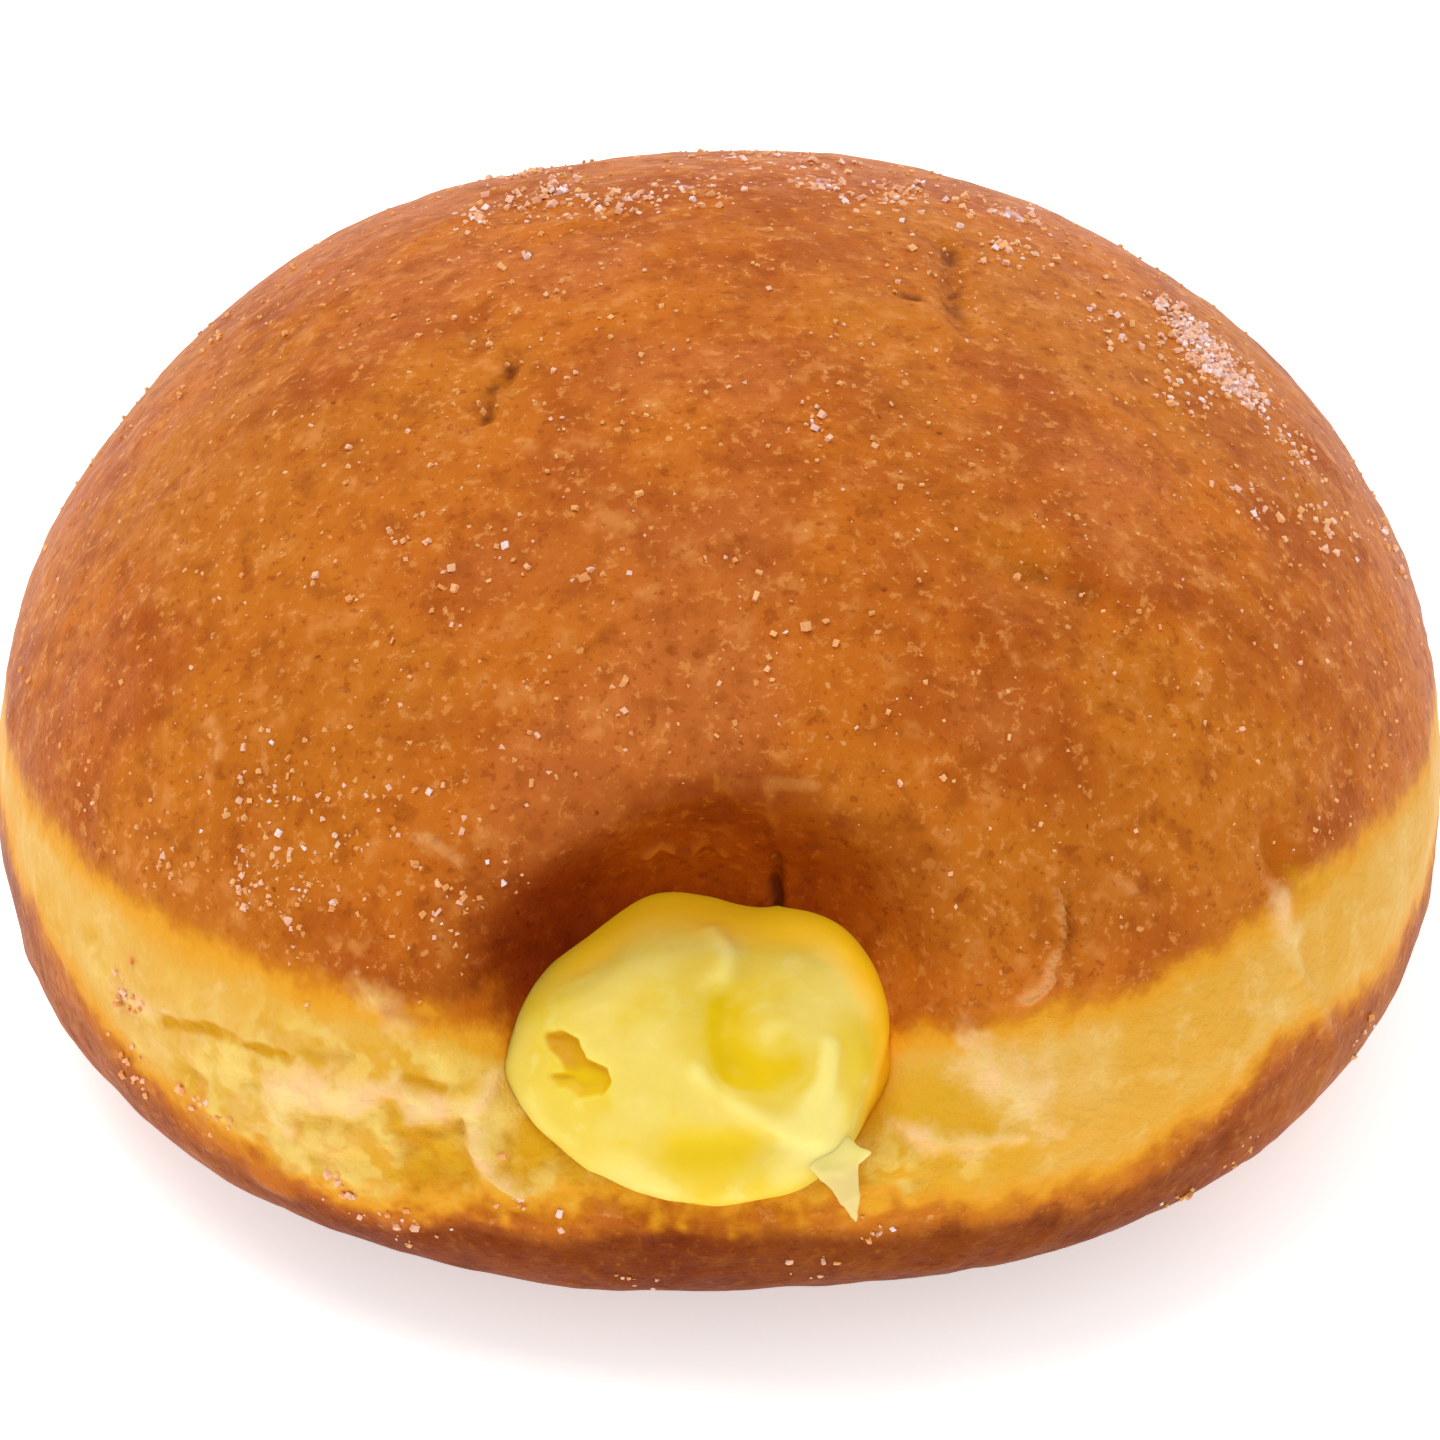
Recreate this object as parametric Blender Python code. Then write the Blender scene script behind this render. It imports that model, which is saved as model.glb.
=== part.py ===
"""A custard-filled yeast doughnut: a fried bun with a mouth in its front side, and the custard in it.

Units are metres. The origin is the middle of the flat spot that the doughnut rests on, +Z is up,
and the mouth looks along -Y. The shape formulas use the widest level of the bun as height 0, and
BASE_HEIGHT lifts the finished pieces onto the base.
"""

import math

import bmesh
import bpy
import numpy as np
from mathutils import Euler, Matrix, Vector

MM = 0.001

# The bun: half widths and heights from its widest level.
HALF_WIDTH = 44 * MM
CROWN_RISE = 32.65 * MM
BASE_DROP = 14.7 * MM
BASE_HEIGHT = 14.2 * MM
PLAN_FULLNESS = 2.16
CROWN_FULLNESS = 1.95
BASE_FULLNESS = 3.6

# Slow swellings of the skin: how many waves, their height and the range of their lengths.
SWELL_WAVES = 7
SWELL_HEIGHT = 0.07 * MM
SWELL_LENGTH = (24 * MM, 46 * MM)
SWELL_SEED = 12

# The mouth, seen from the front. Each list goes round it in even steps from +X upwards.
MOUTH_X = -0.8 * MM
MOUTH_Z = 6.2 * MM
CUSTARD_REACH = np.array((10.3, 8.9, 5.3, 4.8, 6.1, 7.6, 10.7, 9.3, 8.3, 8.2, 8.6, 9.0)) * MM
RIM_REACH = np.array((13.2, 16.2, 15.4, 14.4, 14.6, 16.4, 14.6, 11.6, 10.0, 9.8, 10.2, 11.2)) * MM
RIM_SOFTNESS = np.array((0.3, 0.22, 0.12, 0.08, 0.16, 0.28, 0.3, 0.3, 0.3, 0.3, 0.3, 0.3))
HOLLOW_DEPTH = np.array((3.8, 6.4, 8.8, 9.4, 9.0, 7.4, 4.0, 3.0, 2.4, 2.2, 2.4, 3.0)) * MM
THROAT_INSET = 0.7 * MM

# The custard bulges out of the mouth. Behind it a neck leads to the filling, a flattened ball.
CUSTARD_BULGE = 1.9 * MM
FILLING_HALF_WIDTH = 20 * MM
FILLING_HALF_HEIGHT = 8.2 * MM
FILLING_HALF_LENGTH = 20 * MM
FILLING_Y = -8 * MM
FILLING_Z = 5 * MM
NECK_SWING = 0.32
NECK_SHARE = 0.16
CLEARANCE = 0.32 * MM

# The pale band that floated above the oil, between the two fried crusts.
BAND_TOP = 8.2 * MM
BAND_BOTTOM = -1.6 * MM

# Lines on the skin: half width, rise (a ridge) or fall (a groove), and the points that each one
# follows, all in millimetres from the middle of the widest level.
SKIN_LINES = (
    {"width": 0.9, "rise": -0.9, "path": ((-31, -32, 2.4), (-25, -37, 3.4), (-18, -40, 4.6), (-12, -42, 5))},
    {"width": 1.6, "rise": -0.55, "path": ((16, -22, 25.6), (19.6, -21.2, 24.6), (21.4, -23, 23))},
    {"width": 1.5, "rise": -0.45, "path": ((-11.7, 0, 31.4), (-12.6, -5, 31), (-13.9, -10, 30))},
    {"width": 1.6, "rise": -0.5, "path": ((13.6, 8, 30.4), (14.6, 2, 31), (15.2, -4, 30.4))},
    {"width": 1.7, "rise": -0.8, "path": ((30, -27, 14), (31, -28.4, 11.6), (32, -29, 9))},
    {"width": 1.5, "rise": 0.5, "path": ((32, -29.4, 8.6), (33, -29.6, 4), (35, -28.6, -1.4))},
    {"width": 0.9, "rise": 0.6, "path": ((17.6, -36.2, 13.8), (18.6, -37.2, 11.6), (16.9, -39, 9.6))},
    {"width": 1.0, "rise": 0.7, "path": ((-16, -41.4, 4.6), (-13.8, -42.3, 1.8), (-10.8, -43.2, -1.6))},
    {"width": 1.3, "rise": -0.6, "path": ((11, -41, 7.6), (14, -41, 6.6), (17.6, -40.6, 3))},
)

# Marks in the custard, in millimetres: place, half width and how far each goes in or out.
CUSTARD_MIDDLE = (-0.8, -36, 5)
CUSTARD_MARKS = (
    {"place": (1.4, -42, 9.8), "width": 2.6, "rise": -1.2},
    {"place": (-7.9, -42.2, 7.2), "width": 1.4, "rise": -1.6},
    {"place": (1.0, -45.5, 1.0), "width": 3.2, "rise": -0.7},
    {"place": (6.6, -44, 5.0), "width": 2.4, "rise": 0.8},
)

# A pointed drip hangs from the custard's right foot over the band.
DRIP_FOOT = Vector((4.6, -44.7, 2.4)) * MM
DRIP_TIP = Vector((7.3, -44.9, -1.8)) * MM
DRIP_HALF_WIDTH = 1.1 * MM
DRIP_HALF_THICKNESS = 0.38 * MM
DRIP_POINT = 0.12
DRIP_SEGMENTS = 10

# Sugar grains: the largest ones, more of them in the patches listed as middle, spread and share.
GRAIN_COUNT = 112
GRAIN_SIZE = (0.65 * MM, 1.05 * MM)
GRAIN_SINK = 0.3
GRAIN_SEED = 5
GRAIN_LOWEST = 12 * MM
GRAIN_MOUTH_CLEAR = 18 * MM
SUGAR_PATCHES = (
    {"middle": (29, 3, 24), "spread": 4.0, "share": 0.24},
    {"middle": (34, -3, 20), "spread": 3.0, "share": 0.09},
    {"middle": (13, 15, 29), "spread": 6.0, "share": 0.15},
    {"middle": (-4, 17, 29), "spread": 6.5, "share": 0.13},
    {"middle": (-25, -31, 14), "spread": 4.2, "share": 0.15},
    {"middle": (-15, -36, 15), "spread": 3.5, "share": 0.08},
    {"middle": (0, -12, 31), "spread": 22.0, "share": 0.16},
)

# Mesh detail.
BUN_SEGMENTS = 80
BUN_RINGS = 48
RING_SHARES = (0, 0.08, 0.3, 0.66, 1)
RING_ANGLES = (0, 8.5, 22, 75, 180)
CUSTARD_SEGMENTS = 42
CUSTARD_RINGS = 28


def swell_waves():
    """Directions, wave numbers and phases of the slow swellings, from one seeded draw."""
    rng = np.random.default_rng(SWELL_SEED)
    directions = rng.normal(size=(SWELL_WAVES, 3))
    directions /= np.linalg.norm(directions, axis=1)[:, None]
    lengths = rng.uniform(*SWELL_LENGTH, SWELL_WAVES)
    phases = rng.uniform(0, 2 * math.pi, SWELL_WAVES)
    return directions * (2 * math.pi / lengths)[:, None], phases


def swelling(points):
    """How far the skin stands out at each point, as a sum of sine waves."""
    waves, phases = swell_waves()
    return SWELL_HEIGHT * np.sin(points @ waves.T + phases).sum(axis=1)


def bun_points(directions):
    """Points of the plain bun in these unit directions from the middle of its widest level."""
    x, y, z = np.abs(directions).T
    above = directions[:, 2] > 0
    rise = np.where(above, CROWN_RISE, BASE_DROP)
    power = np.where(above, CROWN_FULLNESS, BASE_FULLNESS)
    level = (x**PLAN_FULLNESS + y**PLAN_FULLNESS) ** (1 / PLAN_FULLNESS) / HALF_WIDTH
    radius = (level**power + (z / rise) ** power) ** (-1 / power)
    return directions * radius[:, None]


def front_of_bun(x, z):
    """The y of the plain bun's front skin at this x and height."""
    rise = np.where(z > 0, CROWN_RISE, BASE_DROP)
    power = np.where(z > 0, CROWN_FULLNESS, BASE_FULLNESS)
    level = (1 - np.minimum(np.abs(z) / rise, 1) ** power) ** (PLAN_FULLNESS / power)
    inside = np.maximum(level - (np.abs(x) / HALF_WIDTH) ** PLAN_FULLNESS, 0)
    return -HALF_WIDTH * inside ** (1 / PLAN_FULLNESS)


def around_mouth(angle, values):
    """A smooth closed curve through evenly spaced values, the first one at +X and then upwards."""
    turn = (angle / (2 * math.pi)) % 1 * len(values)
    step = np.floor(turn).astype(int)
    share = turn - step
    before, here, after, beyond = (values[(step + k) % len(values)] for k in (-1, 0, 1, 2))
    bend = 2 * before - 5 * here + 4 * after - beyond + share * (3 * (here - after) + beyond - before)
    return here + 0.5 * share * (after - before + share * bend)


def upper_share(angle):
    """1 in the directions where the crust overhangs the mouth, 0 beside and below it."""
    share = np.clip(np.sin(angle) / 0.35, 0, 1)
    return share * share * (3 - 2 * share)


def polyline_distance(points, path):
    """Distance from each point to the nearest place on a path."""
    path = np.asarray(path, float) * MM
    nearest = np.full(len(points), np.inf)
    for start, end in zip(path[:-1], path[1:]):
        along = np.clip((points - start) @ (end - start) / ((end - start) @ (end - start)), 0, 1)
        nearest = np.minimum(nearest, np.linalg.norm(points - start - along[:, None] * (end - start), axis=1))
    return nearest


def skin_points(directions):
    """The bun's outer skin: the plain bun with its swellings, lines, hollow and flat base."""
    plain = bun_points(directions)
    rise = swelling(plain)
    for line in SKIN_LINES:
        near = polyline_distance(plain, line["path"]) / (line["width"] * MM)
        rise += line["rise"] * MM * np.exp(-(near**2))
    points = plain + directions * rise[:, None]

    # The hollow moves the front skin inwards, from nothing at the rim to its depth at the throat.
    # Above the mouth it is a steep wall under a soft brow, and elsewhere a rounded lip.
    x, z = plain[:, 0] - MOUTH_X, plain[:, 2] - MOUTH_Z
    angle, reach = np.arctan2(z, x), np.hypot(x, z)
    rim, throat = around_mouth(angle, RIM_REACH), around_mouth(angle, CUSTARD_REACH) - THROAT_INSET
    inwards = np.clip((rim - reach) / (rim - throat), 0, 1)
    lip = 1 - np.sqrt(1 - inwards**2)
    soft = around_mouth(angle, RIM_SOFTNESS)
    brow = (np.hypot(inwards, soft) - soft) / (np.hypot(1, soft) - soft)
    wall = 1 - (1 - brow) ** 1.6
    upper = upper_share(angle)
    shape = lip * (1 - upper) + wall * upper
    points[:, 1] += np.where(plain[:, 1] < 0, around_mouth(angle, HOLLOW_DEPTH) * shape, 0)

    points[:, 2] = np.maximum(points[:, 2], -BASE_HEIGHT)
    return points


def custard_points(share, angle):
    """Points of the custard, from its front (share 0) over the mouth (0.5) to the filling's end (1)."""
    # In the mouth: a blunt dome that follows the bun's front.
    turn = np.clip(share / 0.5, 0, 1) * math.pi / 2
    reach = around_mouth(angle, CUSTARD_REACH) * np.sin(turn) ** 0.8
    x = MOUTH_X + reach * np.cos(angle)
    z = MOUTH_Z + reach * np.sin(angle)
    sink = around_mouth(angle, HOLLOW_DEPTH) + 0.4 * MM
    y = front_of_bun(x, z) + sink - (CUSTARD_BULGE + sink) * np.cos(turn) ** 0.62

    # Behind it: the neck narrows, and the filling is a flattened ball.
    back = np.clip((share - 0.5) / 0.5, 0, 1)
    swing = NECK_SWING + back * (math.pi - NECK_SWING)
    width = np.sin(swing) ** 0.6
    filling_x = MOUTH_X + FILLING_HALF_WIDTH * width * np.cos(angle)
    filling_z = FILLING_Z + FILLING_HALF_HEIGHT * width * np.sin(angle)
    filling_y = FILLING_Y - FILLING_HALF_LENGTH * np.cos(swing)
    join = np.clip(back / NECK_SHARE, 0, 1)
    join = join * join * (3 - 2 * join)
    front = np.stack([x, y, z], axis=1)
    filling = np.stack([filling_x, filling_y, filling_z], axis=1)
    points = front + (filling - front) * join[:, None]

    outwards = points - np.array(CUSTARD_MIDDLE) * MM
    outwards /= np.linalg.norm(outwards, axis=1)[:, None]
    for mark in CUSTARD_MARKS:
        near = np.linalg.norm(points - np.array(mark["place"]) * MM, axis=1) / (mark["width"] * MM)
        points += outwards * (mark["rise"] * MM * np.exp(-(near**2)))[:, None]
    return points


def material(name, colour, roughness):
    made = bpy.data.materials.new(name)
    made.use_nodes = True
    shader = made.node_tree.nodes["Principled BSDF"]
    shader.inputs["Base Color"].default_value = (*colour, 1)
    shader.inputs["Roughness"].default_value = roughness
    shader.inputs["Metallic"].default_value = 0
    made.diffuse_color = (*colour, 1)
    return made


def new_collection(name):
    made = bpy.data.collections.new(name)
    bpy.context.scene.collection.children.link(made)
    return made


def sphere(name, segments, rings, collection):
    """A ball of radius 1 whose poles lie on the Y axis, the first one at the front."""
    bm = bmesh.new()
    bmesh.ops.create_uvsphere(bm, u_segments=segments, v_segments=rings, radius=1)
    mesh = bpy.data.meshes.new(name)
    bm.to_mesh(mesh)
    bm.free()
    made = bpy.data.objects.new(name, mesh)
    collection.objects.link(made)
    return made


def read_points(mesh):
    flat = np.empty(len(mesh.vertices) * 3)
    mesh.vertices.foreach_get("co", flat)
    return flat.reshape(-1, 3)


def write_points(mesh, points):
    points = points + np.array((0, 0, BASE_HEIGHT))
    mesh.vertices.foreach_set("co", points.astype(np.float32).ravel())
    mesh.update()


def polar(ball):
    """Share of the way from the front pole to the back one, and the angle from +X upwards."""
    share = np.arccos(np.clip(ball[:, 2], -1, 1)) / math.pi
    return share, np.arctan2(ball[:, 1], ball[:, 0])


def make_bun(collection):
    """The bun with its hollow. Its rings lie close together at the rim of the hollow."""
    bun = sphere("dough", BUN_SEGMENTS, BUN_RINGS, collection)
    share, angle = polar(read_points(bun.data))
    away = np.radians(np.interp(share, RING_SHARES, RING_ANGLES))
    towards = np.array((MOUTH_X, -HALF_WIDTH, MOUTH_Z))
    towards /= np.linalg.norm(towards)
    side = np.cross(towards, (0, 0, 1))
    side /= np.linalg.norm(side)
    upward = np.cross(side, towards)
    directions = (
        np.outer(np.cos(away), towards)
        + np.outer(np.sin(away) * np.cos(angle), side)
        + np.outer(np.sin(away) * np.sin(angle), upward)
    )
    write_points(bun.data, skin_points(directions))
    return bun


def make_custard(name, collection):
    custard = sphere(name, CUSTARD_SEGMENTS, CUSTARD_RINGS, collection)
    share, angle = polar(read_points(custard.data))
    write_points(custard.data, custard_points(share, angle))
    return custard


def face_outwards(obj):
    bm = bmesh.new()
    bm.from_mesh(obj.data)
    bmesh.ops.recalc_face_normals(bm, faces=bm.faces)
    bm.to_mesh(obj.data)
    bm.free()


def apply_modifiers(obj):
    """Replaces the object's mesh by what its modifiers make of it."""
    graph = bpy.context.evaluated_depsgraph_get()
    mesh = bpy.data.meshes.new_from_object(obj.evaluated_get(graph))
    obj.modifiers.clear()
    obj.data = mesh


def cut_mouth(bun, cutters):
    """Cuts the custard's room out of the bun, with a thin gap all round it."""
    room = make_custard("custard_room", cutters)
    face_outwards(room)
    grow = room.modifiers.new("gap", "DISPLACE")
    grow.strength = CLEARANCE
    grow.mid_level = 0
    cut = bun.modifiers.new("mouth", "BOOLEAN")
    cut.operation = "DIFFERENCE"
    cut.object = room
    apply_modifiers(bun)
    bpy.data.objects.remove(room)


def add_drip(custard, cutters):
    """Joins the drip to the custard: a flattened cone from its foot to its tip."""
    along = (DRIP_TIP - DRIP_FOOT).normalized()
    across = Vector((0, 1, 0)).cross(along).normalized()
    outward = along.cross(across)
    turn = Matrix((across, outward, along)).transposed().to_4x4()
    stretch = Matrix.Diagonal((DRIP_HALF_WIDTH, DRIP_HALF_THICKNESS, (DRIP_TIP - DRIP_FOOT).length, 1))
    centre = (DRIP_FOOT + DRIP_TIP) / 2 + Vector((0, 0, BASE_HEIGHT))
    bm = bmesh.new()
    bmesh.ops.create_cone(
        bm,
        cap_ends=True,
        segments=DRIP_SEGMENTS,
        radius1=1,
        radius2=DRIP_POINT,
        depth=1,
        matrix=Matrix.Translation(centre) @ turn @ stretch,
    )
    mesh = bpy.data.meshes.new("drip")
    bm.to_mesh(mesh)
    bm.free()
    drip = bpy.data.objects.new("drip", mesh)
    cutters.objects.link(drip)
    join = custard.modifiers.new("drip", "BOOLEAN")
    join.operation = "UNION"
    join.object = drip
    apply_modifiers(custard)
    bpy.data.objects.remove(drip)


def grain_directions(rng):
    """Directions of the sugar grains from the bun's middle, patch by patch."""
    found = []
    for patch in SUGAR_PATCHES:
        wanted = round(patch["share"] * GRAIN_COUNT)
        while wanted:
            aim = (np.array(patch["middle"]) + rng.normal(size=3) * patch["spread"]) * MM
            aim /= np.linalg.norm(aim)
            point = bun_points(aim[None])[0]
            reach = math.hypot(point[0] - MOUTH_X, point[2] - MOUTH_Z)
            clear = reach > GRAIN_MOUTH_CLEAR or point[1] > 0
            if point[2] > GRAIN_LOWEST and clear:
                found.append(aim)
                wanted -= 1
    return np.array(found)


def make_grains(collection):
    """Small tilted blocks of sugar, part sunk in the crust."""
    rng = np.random.default_rng(GRAIN_SEED)
    directions = grain_directions(rng)
    for index, point in enumerate(skin_points(directions)):
        size = rng.uniform(*GRAIN_SIZE)
        turn = Euler(rng.uniform(0, 2 * math.pi, 3)).to_matrix().to_4x4()
        stretch = Matrix.Diagonal((size, size * rng.uniform(0.7, 1.2), size * 0.8, 1))
        centre = point + directions[index] * size * (0.5 - GRAIN_SINK)
        centre[2] += BASE_HEIGHT
        bm = bmesh.new()
        bmesh.ops.create_cube(bm, size=1, matrix=Matrix.Translation(centre) @ turn @ stretch)
        mesh = bpy.data.meshes.new(f"grain_{index}")
        bm.to_mesh(mesh)
        bm.free()
        collection.objects.link(bpy.data.objects.new(f"grain_{index}", mesh))


def fuse_grains(bun, cutters):
    make_grains(cutters)
    bpy.context.view_layer.update()
    join = bun.modifiers.new("grains", "BOOLEAN")
    join.operation = "UNION"
    join.operand_type = "COLLECTION"
    join.collection = cutters
    apply_modifiers(bun)
    for grain in list(cutters.objects):
        bpy.data.objects.remove(grain)


def colour_dough(bun):
    """Fried crust above and below, and pale dough in the band and inside the mouth."""
    bun.data.materials.clear()
    bun.data.materials.append(material("fried crust", (0.47, 0.15, 0.03), 0.42))
    bun.data.materials.append(material("pale dough", (0.84, 0.56, 0.17), 0.6))
    for face in bun.data.polygons:
        x, y, z = face.center
        height = z - BASE_HEIGHT
        inside = math.hypot(x, y) < 0.71 * HALF_WIDTH and -0.8 < height / FILLING_HALF_HEIGHT < 1.7
        pale = BAND_BOTTOM < height < BAND_TOP or inside
        face.material_index = 1 if pale else 0


def main():
    for old in list(bpy.data.objects):
        bpy.data.objects.remove(old)
    doughnut = new_collection("custard doughnut")
    cutters = new_collection("cutters")

    bun = make_bun(doughnut)
    face_outwards(bun)
    cut_mouth(bun, cutters)
    fuse_grains(bun, cutters)
    colour_dough(bun)
    bun.data.shade_smooth()
    bun.data.set_sharp_from_angle(angle=math.radians(40))

    custard = make_custard("custard", doughnut)
    face_outwards(custard)
    add_drip(custard, cutters)
    custard.data.shade_smooth()
    custard.data.materials.append(material("custard", (0.86, 0.66, 0.12), 0.3))


main()
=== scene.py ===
import math

import bpy
import numpy as np
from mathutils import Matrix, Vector


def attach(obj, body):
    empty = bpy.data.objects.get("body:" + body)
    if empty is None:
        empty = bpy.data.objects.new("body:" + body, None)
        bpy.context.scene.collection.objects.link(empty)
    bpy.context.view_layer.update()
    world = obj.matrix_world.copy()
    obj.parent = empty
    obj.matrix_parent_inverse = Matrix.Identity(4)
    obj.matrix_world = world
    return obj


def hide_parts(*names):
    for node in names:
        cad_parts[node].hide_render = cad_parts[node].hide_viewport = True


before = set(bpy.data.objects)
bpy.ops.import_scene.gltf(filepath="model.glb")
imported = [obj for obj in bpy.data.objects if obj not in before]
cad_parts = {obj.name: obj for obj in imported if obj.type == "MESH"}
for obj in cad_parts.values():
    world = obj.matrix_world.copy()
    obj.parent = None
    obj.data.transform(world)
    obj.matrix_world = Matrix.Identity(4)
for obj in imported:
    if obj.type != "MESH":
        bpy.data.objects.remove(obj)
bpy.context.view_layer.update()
mm = 0.001

print("frame loaded:", ", ".join(sorted(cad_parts)))

# The bun's main form, the same one that the solids have. Heights count from its widest level,
# which lies baseHeight above the table. Lists go round in even steps.
bunShape = {
    "halfWidth": 44.0,
    "crownRise": 32.65,
    "baseDrop": 14.7,
    "baseHeight": 14.2,
    "planFullness": 2.16,
    "crownFullness": 1.95,
    "baseFullness": 3.6,
    "swellWaves": 7,
    "swellHeight": 0.07,
    "swellLength": (24.0, 46.0),
    "swellSeed": 12,
}

mouthShape = {
    "x": -0.8,
    "z": 6.2,
    "custardReach": (10.4, 9.1, 5.3, 4.8, 5.8, 7.35, 11.2, 9.3, 8.0, 7.7, 8.1, 9.2),
    "rimReach": (13.2, 16.2, 15.4, 14.4, 14.6, 16.4, 14.6, 11.6, 10.0, 9.8, 10.2, 11.2),
    "rimSoftness": (0.3, 0.22, 0.12, 0.08, 0.16, 0.28, 0.3, 0.3, 0.3, 0.3, 0.3, 0.3),
    "hollowDepth": (3.8, 6.4, 8.8, 9.4, 9.0, 7.4, 4.0, 3.0, 2.4, 2.2, 2.4, 3.0),
    "throatInset": 0.7,
    "wallPower": 1.6,
    "browTurn": (0, 0.35),
    "searchAngle": 40,
    "searchSteps": 40,
}

# The heights of the pale band's edges, every 15 degrees from the mouth towards +X.
bandShape = {
    "top": (8.8, 9.3, 8.9, 9.2, 8.4, 7.0, 6.6, 6.9, 7.4, 7.9, 8.3, 8.0,
            7.7, 7.9, 8.2, 7.8, 7.3, 6.9, 6.7, 6.9, 7.9, 8.7, 9.1, 8.9),
    "bottom": (-1.8, -2.4, -2.9, 0.1, -1.5, -0.7, 0.2, -0.8, -1.5, -1.1, -2.0, -2.6,
               -1.9, -2.3, -3.0, -2.5, -1.4, -0.3, 0.9, 2.0, 0.1, -2.8, -4.6, -2.4),
    "topRagged": ((0.8, 4.5, 40), (0.4, 1.6, 44, 2)),
    "bottomRagged": ((1.3, 3.6, 50), (0.5, 1.4, 54, 2)),
    "topEdge": (-0.7, 0.7),
    "bottomEdge": (-1.5, 1.5),
}


# Value noise in 0..1: random numbers on a cubic lattice, blended with smooth steps.
def valueNoise(points, size, seed):
    cells = points / size + 1000.0
    corner = np.floor(cells).astype(np.int64)
    share = cells - corner
    share = share * share * (3 - 2 * share)
    total = np.zeros(points.shape[:-1])
    for step in np.ndindex(2, 2, 2):
        place = corner + np.array(step)
        mixed = place[..., 0] * 73856093 ^ place[..., 1] * 19349663 ^ place[..., 2] * 83492791
        mixed = (mixed ^ (seed * 2654435761)) & 0x7FFFFFFF
        mixed = (mixed * 1103515245 + 12345) & 0x7FFFFFFF
        mixed = (mixed >> 8) % 4096
        weight = np.prod(np.where(np.array(step) == 1, share, 1 - share), axis=-1)
        total += weight * mixed / 4095.0
    return total


# Several octaves of value noise, each half as long and a little weaker, centred on 0.
def roughNoise(points, size, seed, octaves=3, keep=0.55):
    total = np.zeros(points.shape[:-1])
    height = 1.0
    for octave in range(octaves):
        total += height * (valueNoise(points, size / 2**octave, seed + octave) - 0.5)
        height *= keep
    return total


# A sum of rough noises: each row holds a height and then the size, seed, octaves and keep.
def layeredNoise(points, rows):
    return sum(height * roughNoise(points, *rest) for height, *rest in rows)


# Vectors brought to a length of 1, along the last axis.
def unit(vectors):
    return vectors / np.maximum(np.linalg.norm(vectors, axis=-1, keepdims=True), 1e-9)


# A soft hill: 1 where the distance is 0, 0.37 at the half width, almost 0 at twice that.
def softHill(distance, halfWidth):
    return np.exp(-((distance / halfWidth) ** 2))


# 0 below the first edge, 1 above the second, a smooth step between.
def smoothBetween(low, high, value):
    share = np.clip((value - low) / (high - low), 0, 1)
    return share * share * (3 - 2 * share)


# A closed curve through evenly spaced values (Catmull-Rom), read at an angle in radians.
def aroundRing(angle, values):
    values = np.asarray(values)
    turn = (angle / (2 * math.pi)) % 1 * len(values)
    step = np.floor(turn).astype(int)
    share = turn - step
    before, here, after, beyond = (values[(step + k) % len(values)] for k in (-1, 0, 1, 2))
    bend = 2 * before - 5 * here + 4 * after - beyond + share * (3 * (here - after) + beyond - before)
    return here + 0.5 * share * (after - before + share * bend)


# Distance from each point to the nearest place on a path of straight runs.
def pathDistance(points, path):
    path = np.asarray(path, float)
    nearest = np.full(points.shape[:-1], np.inf)
    for start, end in zip(path[:-1], path[1:]):
        run = end - start
        along = np.clip((points - start) @ run / (run @ run), 0, 1)
        nearest = np.minimum(nearest, np.linalg.norm(points - start - along[..., None] * run, axis=-1))
    return nearest


# How deep each place lies inside a closed outline: the distance to its nearest side, which counts
# as negative outside. A place is inside where a ray from it crosses an odd number of sides.
def outlineDepth(x, z, outline):
    corners = np.asarray(outline, float)
    nearest = np.full(x.shape, np.inf)
    inside = np.zeros(x.shape, bool)
    for (x0, z0), (x1, z1) in zip(corners, np.roll(corners, -1, axis=0)):
        runX, runZ = x1 - x0, z1 - z0
        along = np.clip(((x - x0) * runX + (z - z0) * runZ) / (runX**2 + runZ**2), 0, 1)
        nearest = np.minimum(nearest, np.hypot(x - x0 - along * runX, z - z0 - along * runZ))
        if runZ:
            inside ^= ((z0 > z) != (z1 > z)) & (x < x0 + (z - z0) * runX / runZ)
    return np.where(inside, nearest, -nearest)


# Superellipsoid: |level|^n + |z/c|^n = 1, with one height and fullness above and another below.
def plainBun(directions):
    b = bunShape
    x, y, z = np.moveaxis(np.abs(directions), -1, 0)
    above = directions[..., 2] > 0
    rise = np.where(above, b["crownRise"], b["baseDrop"])
    power = np.where(above, b["crownFullness"], b["baseFullness"])
    level = (x ** b["planFullness"] + y ** b["planFullness"]) ** (1 / b["planFullness"]) / b["halfWidth"]
    radius = (level**power + (z / rise) ** power) ** (-1 / power)
    return directions * radius[..., None]


# The same surface solved for y on the mouth's side.
def frontOfBun(x, z):
    b = bunShape
    rise = np.where(z > 0, b["crownRise"], b["baseDrop"])
    power = np.where(z > 0, b["crownFullness"], b["baseFullness"])
    level = (1 - np.minimum(np.abs(z) / rise, 1) ** power) ** (b["planFullness"] / power)
    inside = np.maximum(level - (np.abs(x) / b["halfWidth"]) ** b["planFullness"], 0)
    return -b["halfWidth"] * inside ** (1 / b["planFullness"])


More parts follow.
